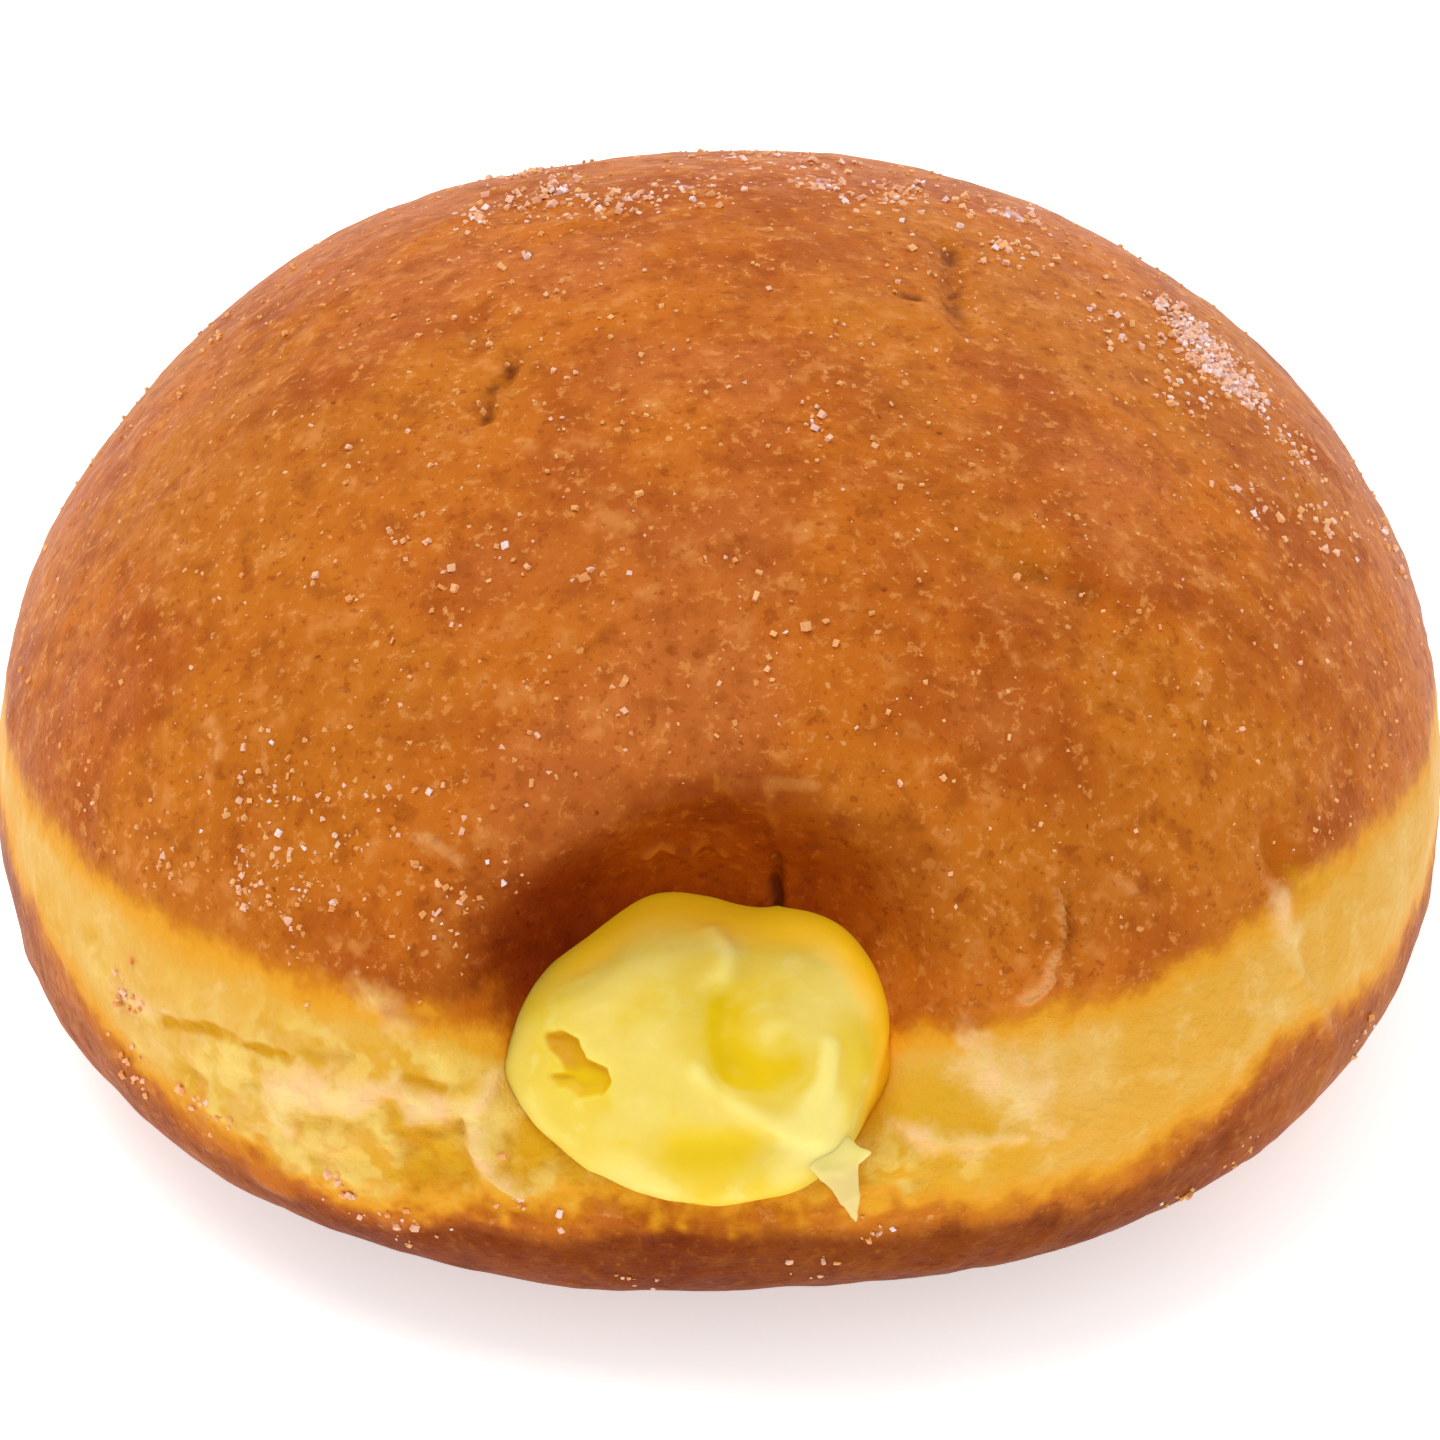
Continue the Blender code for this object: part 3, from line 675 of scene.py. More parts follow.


# Millimetres of relief at each point of the skin, and what its material reads: how far a point
# lies above the band's top edge and below its bottom edge, how deep it lies in the outlined
# patches and in the hollow (for painted shade there), where dough is torn, where painted shade
# falls above the mouth, at the hollow's left and on the underside, and what the creases and the
# sugar dust do.
def skinHeights(points):
    r, b, m, s = skinRelief, bandShape, mouthShape, skinShares
    x, y, z = np.moveaxis(points, -1, 0)
    azimuth = np.arctan2(x, -y)
    reach, angle = np.hypot(x - m["x"], z - m["z"]), np.arctan2(z - m["z"], x - m["x"])
    nearMouth = np.where(y < 0, inZone("mouthSide", reach), 0)
    pushedIn = np.maximum(y - frontOfBun(x, z), 0) * nearMouth
    level = z + r["bandDip"] * pushedIn
    above = level - aroundRing(azimuth, b["top"]) + layeredNoise(points, b["topRagged"])
    below = aroundRing(azimuth, b["bottom"]) - level + layeredNoise(points, b["bottomRagged"])
    crust = smoothBetween(*b["topEdge"], above) + smoothBetween(*b["bottomEdge"], below)

    heights = layeredNoise(points, r["rough"]) + r["crustStep"] * crust
    creaseShadeAndFoldLight = np.zeros_like(x)
    swing, size, seed = r["lineVaries"]
    uneven = r["lineLeast"] + swing * valueNoise(points, size, seed)
    for halfWidth, rise, tone, path in skinLines:
        shape = softHill(pathDistance(points, path), halfWidth) * uneven
        heights += rise * shape
        creaseShadeAndFoldLight += tone * shape

    patches = {kind: np.full(x.shape, farOutside) for kind in ("pale", "gold", "brown")}
    for kind, rise, softness, outline in bandPatches:
        depth = np.where(y < 0, outlineDepth(x, z, outline), farOutside) / softness
        patches[kind] = np.maximum(patches[kind], depth)
        heights += r["patchHeight"] * rise * inZone("patch", depth)

    # Dough is torn beside and below the mouth, most at its left.
    (middleX, middleZ), (reachX, reachZ) = r["tornMiddle"], r["tornReach"]
    around = np.hypot((x - middleX) / reachX, (z - middleZ) / reachZ)
    torn = inZone("torn", around + layeredNoise(points, r["tornRagged"])) * (y < 0)
    crumbs = roughNoise(points * r["tornSquash"], *r["tornRough"])
    heights += r["tornHeight"] * torn * np.clip(1 - crust, 0, 1) * crumbs

    nearCustard = reach / aroundRing(angle, m["custardReach"]) + layeredNoise(points, r["custardRagged"])
    nearRim = reach / aroundRing(angle, m["rimReach"]) + layeredNoise(points, r["rimRagged"])
    upper = np.where(y < 0, inZone("upper", np.sin(angle)), 0)
    # Right of the mouth the painted shade is weaker, so the crust stays golden there.
    golden = inZone("goldenSide", x) * inZone("goldenHeight", z)
    ends = inZone("undersideEnds", np.abs(x))
    # Painted shade above the mouth: a wide soft brow, the rim of the hollow and a dark ring just under its
    # crest.
    crest = inZone("crestOuter", nearRim) * inZone("crestInner", nearRim)
    crest *= inZone("crestTurn", np.sin(angle)) * inZone("crestSide", x)
    shade = s["browShade"] * inZone("browShade", nearRim) + s["rimShade"] * inZone("rimShade", nearRim)
    shade = (shade + s["crestShade"] * crest) * upper * (1 - s["goldenShade"] * golden)
    frost = np.zeros_like(x)
    for middle, share in sugarLook["dust"]:
        distance = np.linalg.norm(points - np.array(middle), axis=-1)
        frost = np.maximum(frost, share * softHill(distance, sugarLook["dustSpread"]))
    return heights, {
        "aboveTop": above,
        "belowBottom": below,
        "paleCrumb": patches["pale"],
        "goldCrumbAndShade": patches["gold"],
        "brownCrumbAndShade": patches["brown"],
        "torn": torn,
        "besideMouth": np.where(y < 0, inZone("besideMouth", nearCustard), 0),
        # painted shade in the hollow, darker where the skin is pushed further in
        "hollowShade": inZone("hollowShade", pushedIn) * (1 - s["goldenHollow"] * golden),
        "shade": shade,
        # painted shade at the left of the hollow
        "leftHollowShade": upper * inZone("leftHollowShade", nearRim) * inZone("leftHollowShadeSide", x),
        # painted shade on the lower crust, which faces down, weaker at the bun's ends
        "undersideShade": inZone("undersideShade", below) * (1 - s["undersideEnds"] * ends),
        "creaseShadeAndFoldLight": np.clip(creaseShadeAndFoldLight, -1, 1),
        "frost": frost,
    }


# In all looks a noise is its scale, detail and roughness, tints are rows for addTints, and four
# numbers are a value's range and the range that it is stretched to.
# The fried crust: the factors darken places with painted shade, and each kind of spot has its scale,
# the share of cells that hold one, its largest radius in cells and its strength.
crustLook = {
    "orange": (0.555, 0.147, 0.010),
    "brown": (0.42, 0.092, 0.007),
    "ochre": (0.53, 0.158, 0.010),
    "rosy": (0.54, 0.145, 0.028),
    "redBrown": (0.31, 0.060, 0.004),
    "flake": (0.69, 0.26, 0.058),
    "granule": (0.80, 0.36, 0.12),
    "pit": (0.22, 0.045, 0.003),
    "creaseShade": (0.18, 0.036, 0.001),
    # factors of painted shade: above the mouth, in the hollow, at its left and on the underside
    "shadeFactor": (0.55, 0.38, 0.08),
    "hollowShadeFactor": (0.70, 0.44, 0.09),
    "leftHollowShadeFactor": (0.6, 0.42, 0.5),
    "undersideShadeFactor": (0.41, 0.28, 0.05),
    "frost": (0.72, 0.47, 0.50),
    "noises": {
        "blotch": (130, 2, 0.5),
        "wide": (62, 1, 0.5),
        "mottle": (500, 2, 0.6),
        "grain": (1250, 3, 0.7),
    },
    "tints": (
        ("blotch", 0.36, 0.64, "orange", 1),
        ("wide", 0.48, 0.62, "ochre", 0.7),
        ("wide", 0.46, 0.32, "rosy", 0.7),
        ("mottle", 0.5, 0.3, "redBrown", 0.5),
        ("mottle", 0.54, 0.76, "flake", 0.6),
        ("grain", 0.55, 0.68, "flake", 0.7),
        ("grain", 0.43, 0.32, "redBrown", 0.6),
    ),
    "spots": (("granule", 1050, 0.2, 0.27, 0.7), ("pit", 900, 0.09, 0.2, 0.8)),
    "spotWarp": (1500, 0.0006),
    "dust": (1100, 1, 0.6),
    "dustTint": (("dust", 1.02, 1.2, "frost", 0.85),),
    "heightShare": 0.7,
    "bump": (0.8, 0.0004),
    "roughness": (0.1, 0.7, 0.63, 0.45),
    "shader": {"Specular IOR Level": 0.05},
}

# Dough that stayed above the oil. The edge's tints count in millimetres past the band's edge.
# Each patch has the attribute that it reads, its two tones and its strength.
bandLook = {
    "cream": (0.755, 0.435, 0.09),
    "honey": (0.73, 0.37, 0.040),
    "amber": (0.76, 0.33, 0.018),
    "orange": (0.58, 0.19, 0.005),
    "pale": (0.89, 0.66, 0.27),
    "lemon": (0.85, 0.61, 0.15),
    "pink": (0.90, 0.56, 0.26),
    "gold": (0.68, 0.35, 0.008),
    "deepGold": (0.60, 0.26, 0.002),
    "brown": (0.50, 0.125, 0.004),
    "slitShade": (0.64, 0.29, 0.0),
    "noises": {"slow": (120, 2, 0.5), "crumb": (420, 3, 0.65)},
    "tints": (
        ("slow", 0.4, 0.62, "honey", 1),
        ("crumb", 0.5, 0.75, "pale", 0.35),
        ("crumb", 0.45, 0.25, "amber", 0.4),
    ),
    "edgeTints": (("nearest", -2.4, -0.7, "amber", 1), ("nearest", -1.1, 0.3, "orange", 1)),
    "golden": (0.35, 0.6, 0.3, 0.85),
    "chunks": (((230, 2, 0.5), 0.65), ((520, 2, 0.5), 0.55)),
    "chunkTints": ((0.5, 0.62, "lemon"), (0.48, 0.35, "gold")),
    "patches": (("paleCrumb", "pale", "pink", 0.85), ("goldCrumbAndShade", "gold", "deepGold", 0.85),
                ("brownCrumbAndShade", "brown", "brown", 0.8)),
    "patchVaried": (0.42, 0.58),
    "patchWander": 2.4,
    "patchEdge": (-0.5, 0.9),
}

# Where band and crust meet: a ragged edge, with larger chunks where dough is torn.
edgeLook = {
    "noises": {"ragged": (700, 2, 0.7), "chunk": (330, 2, 0.7)},
    "raggedReach": 1.8,
    "chunkReach": (1.5, 6),
    "join": (-0.6, 1.1),
}

# How a noise breaks up the creases and folds, and where they darken the colour with painted shade and
# lighten it with a painted highlight.
lineLook = {
    "broken": (0.35, 0.6, 0.45, 1.2),
    "dark": (-0.12, -0.8, 0, 0.92),
    "light": (0.12, 0.9, 0, 0.75),
}


# Fried skin: slow blotches, a finer mottle, a grain, and small pale and dark spots. Mottle and
# grain are also the height for the bump, which it returns with the colour.
def crustTone(tree, place):
    c = crustLook
    noises = namedNoises(tree, place, c["noises"])
    tone = addTints(tree, c["brown"], noises, c, c["tints"])
    warped = warpNode(tree, place, *c["spotWarp"])
    for name, scale, share, radius, most in c["spots"]:
        spots = times(tree, spotNode(tree, warped, scale, share, radius), most)
        tone = mixColours(tree, spots, tone, c[name])
    tone = addLineTone(tree, tone, noises["mottle"], c["creaseShade"], c["granule"])
    # Painted shade multiplies the colour darker: above the mouth, in the hollow, at its left and on the
    # underside.
    for label in ("shade", "hollowShade", "leftHollowShade", "undersideShade"):
        tone = mixColours(tree, attributeNode(tree, label), tone, c[label + "Factor"], "MULTIPLY")
    heights = (times(tree, noises[name], c["heightShare"]) for name in ("mottle", "grain"))
    return tone, plus(tree, *heights)


# Creases darken the colour with painted shade and raised folds lighten it with a painted highlight, broken
# up by a noise.
def addLineTone(tree, tone, noise, dark, light):
    k = lineLook
    broken = times(tree, attributeNode(tree, "creaseShadeAndFoldLight"), stretchNode(tree, noise, *k["broken"]))
    tone = mixColours(tree, stretchNode(tree, broken, *k["dark"]), tone, dark)
    return mixColours(tree, stretchNode(tree, broken, *k["light"]), tone, light)


# Cream in the middle of the band, amber towards its edges, golden beside the custard, with lemon
# and golden chunks where it is torn. It also returns a fine noise.
def bandTone(tree, place, nearest):
    c = bandLook
    noises = namedNoises(tree, place, c["noises"])
    tone = addTints(tree, c["cream"], noises, c, c["tints"])
    varied = stretchNode(tree, noises["slow"], *c["golden"])
    tone = mixColours(tree, times(tree, attributeNode(tree, "besideMouth"), varied), tone, c["gold"])
    torn = attributeNode(tree, "torn")
    for noise, most in c["chunks"]:
        chunk = noiseNode(tree, place, *noise)
        for low, high, name in c["chunkTints"]:
            share = times(tree, torn, stretchNode(tree, chunk, low, high, 0, most))
            tone = mixColours(tree, share, tone, c[name])
    return addTints(tree, tone, {"nearest": nearest}, c, c["edgeTints"]), noises["crumb"]


# The outlined patches, over band and crust alike, each in two tones, and the creases in the band: darker as
# painted shade, lighter in pink as a painted highlight.
def addPatches(tree, tone, crumb, onBand):
    c = bandLook
    wander = times(tree, mathNode(tree, "SUBTRACT", crumb, 0.5), c["patchWander"])
    varied = stretchNode(tree, crumb, *c["patchVaried"])
    for label, first, second, most in c["patches"]:
        depth = plus(tree, attributeNode(tree, label), wander)
        colour = mixColours(tree, varied, c[first], c[second])
        tone = mixColours(tree, stretchNode(tree, depth, *c["patchEdge"], 0, most), tone, colour)
    creased = addLineTone(tree, tone, crumb, c["slitShade"], c["pink"])
    return mixColours(tree, onBand, tone, creased)


# The crust begins where a place passes the nearer edge of the band, moved about by the noises.
def crustMaterial():
    c, e = crustLook, edgeLook
    made, tree = newMaterial("fried crust and pale dough")
    place = objectCoordinates(tree)
    torn = attributeNode(tree, "torn")
    noises = namedNoises(tree, place, e["noises"])
    ragged, chunk = (mathNode(tree, "SUBTRACT", noises[name], 0.5) for name in ("ragged", "chunk"))
    chunky = times(tree, chunk, stretchNode(tree, torn, 0, 1, *e["chunkReach"]))
    wander = times(tree, ragged, e["raggedReach"])
    overTop = plus(tree, attributeNode(tree, "aboveTop"), wander)
    underBottom = plus(tree, attributeNode(tree, "belowBottom"), plus(tree, wander, chunky))
    nearest = mathNode(tree, "MAXIMUM", overTop, underBottom)

    crust, crustHeight = crustTone(tree, place)
    band, crumb = bandTone(tree, place, nearest)
    share = stretchNode(tree, nearest, *e["join"])
    whole = mixColours(tree, share, band, crust)
    whole = addPatches(tree, whole, crumb, mathNode(tree, "SUBTRACT", 1.0, share))
    dust = plus(tree, noiseNode(tree, place, *c["dust"]), attributeNode(tree, "frost"))
    whole = addTints(tree, whole, {"dust": dust}, c, c["dustTint"])

    height = plus(tree, crustHeight, times(tree, crumb, torn))
    rough = stretchNode(tree, crustHeight, *c["roughness"])
    finishMaterial(tree, whole, bumpNode(tree, height, *c["bump"]), c["shader"], rough)
    return made


# The custard: a blunt dome in the mouth, reach times sin(turn)^widthPower sideways and
# cos(turn)^domePower forwards, then its neck and the filling. Relief ends before the mouth's edge.
custardShape = {
    "columns": 360,
    "frontRows": 200,
    "backRows": 36,
    "rowPower": 0.85,
    "widthPower": 0.8,
    "domePower": 0.62,
    "bulge": 1.9,
    "sink": 0.4,
    "middle": (-0.8, -36, 5),
    "rough": ((0.5, 5.0, 110, 2, 0.4), (0.17, 1.8, 114, 2)),
    "reliefEnds": (1.0, 0.9),
}

# Where the custard's rim is painted amber as shade, where it turns back under the crust: from a
# share of the reach outwards, on the upper side only (as sines of the turn, for each half), and
# further in at the right, on its shaded side face.
amberShadeRim = {
    "start": 0.83,
    "rightHalf": (-0.75, -0.15),
    "leftHalf": (0.1, 0.55),
    "wider": 0.19,
    "widerTurn": (0.75, 0.98),
}

# Flat faces: a place on each, which way it looks, how hard it presses and how soft its edge is.
custardFaces = (
    ((6.7, -43.7, 6.5), (0.84, -0.54, 0.0), 0.85, 0.35),
    ((0, -39.0, 10.4), (0.0, -0.22, 0.98), 0.6, 0.8),
    ((8.0, -38.0, 9.6), (0.55, -0.25, 0.8), 0.6, 0.6),
    ((-8.6, -40.8, 8.0), (-0.6, -0.45, 0.66), 0.6, 0.8),
    ((0, -45.2, 5.0), (0.0, -1.0, 0.05), 0.5, 0.6),
)

# Dents, swellings and ridges: half width, rise or fall, and how much paler or deeper each one is.
# Paler is a painted highlight on lit faces, ridges and corners; deeper is painted shade in the
# dents and on the lower front.
custardMarks = (
    (1.1, -0.4, -1.1, ((0.3, -40.2, 9.9), (0.1, -41.9, 8.9), (0.8, -43.7, 8.3))),
    (1.1, -0.25, -0.8, ((0.8, -43.7, 8.3), (2.2, -44.0, 8.1), (3.9, -43.4, 8.2))),
    (1.0, 0.35, 0.5, ((2.7, -41.9, 9.2), (3.0, -41.5, 9.3))),
    (0.7, 0.3, 0.7, ((-0.4, -34.8, 10.8), (0.4, -36.4, 10.7), (0.2, -38.4, 10.6))),
    (0.75, 0.4, 0.9, ((-1.1, -43.9, 8.3), (0.5, -44.8, 7.2), (2.7, -45.1, 5.5), (5.0, -45.0, 4.4))),
    (0.6, 0.4, 1.0, ((5.8, -42.2, 8.8), (5.6, -43.7, 7.6), (5.2, -44.8, 6.4), (5.1, -45.0, 4.6))),
    (2.2, -0.5, -0.8, ((-1.8, -45.2, 3.7), (1.2, -45.1, 3.7))),
    (1.6, 0.15, 0.8, ((6.8, -36.2, 10.4), (7.7, -38.4, 9.4))),
    (2.2, 0.1, 0.4, ((-4.4, -37.5, 11.0), (-7.5, -39.5, 9.3))),
    (1.7, 0.0, 0.75, ((5.4, -44.6, 6.3), (5.0, -45.0, 4.2), (3.4, -45.0, 2.3))),
    (1.5, 0.3, 0.3, ((6.0, -43.6, 5.0), (6.4, -44.2, 3.2))),
    (1.3, 0.1, 0.35, ((-10.6, -39.5, 7.4), (-10.8, -40.5, 5.6), (-9.5, -42.2, 3.8))),
)

# The air hole at the left, outlined in x and in height up a plane that leans back by this slope.
airHole = {
    "slope": 35.0,
    "outline": (
        (-9.4, -16.6), (-8.6, -16.5), (-7.8, -16.8), (-7.4, -17.8), (-6.3, -18.3), (-6.1, -19.0),
        (-6.5, -19.5), (-7.7, -19.7), (-8.8, -19.1), (-9.1, -18.8), (-8.2, -18.6), (-8.6, -17.8),
        (-9.2, -17.2)),
    "wider": 0.2,
    "ragged": ((0.2, 0.9, 118, 2),),
    "before": -36,  # cut only in front of this y
    "depth": 0.6,
    "wall": (-0.15, 0.45),
    # the air hole is painted in shade, lighter at its foot
    "footHeight": (-18.05, -18.75),  # lighter from here down
}


# The dome, the neck and the filling in one grid. Flat faces are pressed in by a smooth maximum of
# the distance beyond each, then relief and the air hole move points away from a middle.
def makeCustard():
    c, h, a = custardShape, airHole, amberShadeRim
    angle = np.linspace(0, 2 * math.pi, c["columns"], endpoint=False)
    turn = (np.linspace(0, 1, c["frontRows"]) ** c["rowPower"] * math.pi / 2)[:, None]
    reach = aroundRing(angle, mouthShape["custardReach"]) * np.sin(turn) ** c["widthPower"]
    x = mouthShape["x"] + reach * np.cos(angle)
    z = mouthShape["z"] + reach * np.sin(angle)
    sink = aroundRing(angle, mouthShape["hollowDepth"]) + c["sink"]
    y = frontOfBun(x, z) + sink - (c["bulge"] + sink) * np.maximum(np.cos(turn), 0) ** c["domePower"]
    front = np.stack([x, y, z], axis=-1)
    share = np.linspace(0, 1, c["backRows"] + 1)[1:, None]
    back = fillingPoints(share, angle, 0.0)
    join = smoothBetween(0, fillingShape["neckShare"], share)[..., None]
    points = np.concatenate([front, front[-1] + (back - front[-1]) * join])

    out = turn / (math.pi / 2)
    free = np.concatenate([smoothBetween(*c["reliefEnds"], out), np.zeros((c["backRows"], 1))])
    for place, facing, press, soft in custardFaces:
        normal = unit(np.array(facing))
        beyond = (points - np.array(place)) @ normal
        pressed = (beyond + np.hypot(beyond, soft)) / 2
        points = points - normal * (pressed * press * free)[..., None]

    outwards = unit(points - np.array(c["middle"]))
    heights = layeredNoise(points, c["rough"])
    tone = np.zeros(points.shape[:2])
    for halfWidth, rise, paintedLight, path in custardMarks:
        shape = softHill(pathDistance(points, path), halfWidth)
        heights += rise * shape
        tone += paintedLight * shape
    slope = math.radians(h["slope"])
    upSlope = points[..., 2] * math.cos(slope) + points[..., 1] * math.sin(slope)
    hole = outlineDepth(points[..., 0], upSlope, h["outline"]) + h["wider"]
    hole = np.where(points[..., 1] < h["before"], hole + layeredNoise(points, h["ragged"]), farOutside)
    heights -= h["depth"] * smoothBetween(*h["wall"], hole)
    foot = smoothBetween(*h["footHeight"], upSlope)
    points = points + outwards * (heights * free)[..., None]

    right, up = np.cos(angle), np.sin(angle)
    upper = np.where(right > 0, smoothBetween(*a["rightHalf"], up), smoothBetween(*a["leftHalf"], up))
    wider = a["wider"] * smoothBetween(*a["widerTurn"], right)
    edge = smoothBetween(a["start"] - wider, 1.0 - wider / 3, out) * upper
    edge = np.concatenate([edge, np.ones((c["backRows"], c["columns"]))])
    extras = {"edge": edge, "tone": np.clip(tone, -1, 1), "airHole": hole, "foot": foot}
    return gridPiece("custardLump", points, extras)


custardLook = {
    "yellow": (0.78, 0.585, 0.07),
    "pale": (0.84, 0.715, 0.215),
    "deepAndShade": (0.775, 0.54, 0.0),
    # painted shade: the rim's amber where it turns back under the crust
    "amber": (1.0, 0.56, 0.01),
    "thin": (0.71, 0.55, 0.17),
    # painted shade inside the air hole, lighter at its foot
    "hole": (0.70, 0.37, 0.0),
    "holeFoot": (0.77, 0.50, 0.0),
    "noises": {"clouds": (190, 2, 0.45), "curds": (460, 3, 0.6), "fine": (900, 2, 0.5)},
    "tints": (
        ("clouds", 0.45, 0.65, "pale", 0.45),
        ("clouds", 0.42, 0.3, "deepAndShade", 0.5),
        ("curds", 0.52, 0.7, "pale", 0.5),
        ("curds", 0.46, 0.3, "deepAndShade", 0.35),
        # painted highlights and painted shade from the marks
        ("markHighlightAndShade", 0.05, 0.85, "pale", 1),
        ("markHighlightAndShade", -0.05, -0.8, "deepAndShade", 1),
    ),
    "holeEdge": (-0.05, 0.15),
    "bump": (0.12, 0.0002),
    "shader": {
        "Roughness": 0.42,
        "Subsurface Weight": 0.7,
        "Subsurface Radius": (1.0, 0.7, 0.15),
        "Subsurface Scale": 0.0024,
        "Specular IOR Level": 0.15,
        # painted light: the amber rim glows
        "Emission Strength": 0.2,
    },
}


# Yellow with pale and deep clouds and curds, marks of painted highlight and painted shade, the
# rim painted amber as shade with a painted glow, and the air hole in painted shade.
def custardMaterial():
    c = custardLook
    made, tree = newMaterial("vanilla custard")
    place = objectCoordinates(tree)
    values = namedNoises(tree, place, c["noises"])
    values["markHighlightAndShade"] = attributeNode(tree, "tone")
    edge = attributeNode(tree, "edge")
    tone = addTints(tree, c["yellow"], values, c, c["tints"])
    tone = mixColours(tree, edge, tone, c["amber"])
    # painted shade in the air hole, lighter at its foot
    inside = mixColours(tree, attributeNode(tree, "foot"), c["hole"], c["holeFoot"])
    inHole = stretchNode(tree, attributeNode(tree, "airHole"), *c["holeEdge"])
    tone = mixColours(tree, inHole, tone, inside)
    # painted light: the amber rim glows, which lightens its painted shade
    paintedGlow = mixColours(tree, edge, (0.0, 0.0, 0.0), c["amber"])
    finishMaterial(tree, tone, bumpNode(tree, values["fine"], *c["bump"]), c["shader"], paintedGlow=paintedGlow)
    return made


# A jagged drip at the custard's right foot: a flattened tube along a path, with a reach to the
# left and to the right that changes in straight steps, so that its edges stay sharp.
dripShape = {
    "rows": 90,
    "columns": 36,
    "path": (
        (6.0, -42.2, 5.4), (6.2, -43.6, 3.5), (6.5, -44.65, 2.2), (7.03, -44.85, 0.5), (7.5, -44.4, -1.7)),
    "steps": (0, 0.1, 0.2, 0.3, 0.36, 0.43, 0.5, 0.72, 1),
    "leftReach": (0.2, 0.4, 1.3, 3.3, 2.7, 1.9, 1.3, 0.65, 0.03),
    "rightReach": (0.2, 0.3, 0.5, 0.8, 1.2, 1.9, 1.0, 0.62, 0.03),
    "thickness": (0.4, 0.42, 0.42, 0.4, 0.38, 0.35, 0.32, 0.25, 0.04),
    "rough": ((0.12, 0.8, 130, 2),),
    "thinFrom": (0.4, 0.6),
}


# Each row is half an ellipse to the left and half a one to the right, set across the path.
def makeDrip():
    d = dripShape
    share = np.linspace(0, 1, d["rows"])
    path = np.array(d["path"], float)
    lengths = np.concatenate([[0], np.cumsum(np.linalg.norm(np.diff(path, axis=0), axis=1))])
    middle = np.stack([np.interp(share * lengths[-1], lengths, path[:, k]) for k in range(3)], axis=-1)
    along = unit(np.gradient(middle, axis=0))
    across = np.cross(along, (0, 1, 0))
    across = unit(across * np.sign(across[:, :1]))
    outward = np.cross(across, along)
    outward *= -np.sign(outward[:, 1:2])

    angle = np.linspace(0, 2 * math.pi, d["columns"], endpoint=False)
    parts = ("leftReach", "rightReach", "thickness")
    left, right, thick = (np.interp(share, d["steps"], d[part])[:, None] for part in parts)
    sideways = np.where(np.cos(angle) < 0, left, right) * np.cos(angle)
    outwards = thick * np.sin(angle)
    points = middle[:, None] + sideways[..., None] * across[:, None] + outwards[..., None] * outward[:, None]
    points = points + layeredNoise(points, d["rough"])[..., None]
    thin = smoothBetween(*d["thinFrom"], share)[:, None] * np.ones(d["columns"])
    return gridPiece("drip", points, {"tone": thin})


dripLook = {
    "clouds": (420, 2, 0.5),
    "cloudEdge": (0.2, 0.45),
    "fine": (1200, 2, 0.5),
    "bump": (0.2, 0.0002),
    "shader": {
        "Roughness": 0.25,
        "Subsurface Weight": 0.3,
        "Subsurface Radius": (1.0, 0.8, 0.3),
        "Subsurface Scale": 0.0008,
        "Specular IOR Level": 0.45,
    },
}


# Clouded like the custard at its top, thin and glossier further down.
def dripMaterial():
    c, d = custardLook, dripLook
    made, tree = newMaterial("thin custard")
    place = objectCoordinates(tree)
    clouds = stretchNode(tree, noiseNode(tree, place, *d["clouds"]), *d["cloudEdge"])
    tone = mixColours(tree, clouds, c["yellow"], c["pale"])
    tone = mixColours(tree, attributeNode(tree, "tone"), tone, c["thin"])
    normal = bumpNode(tree, noiseNode(tree, place, *d["fine"]), *d["bump"])
    finishMaterial(tree, tone, normal, d["shader"])
    return made


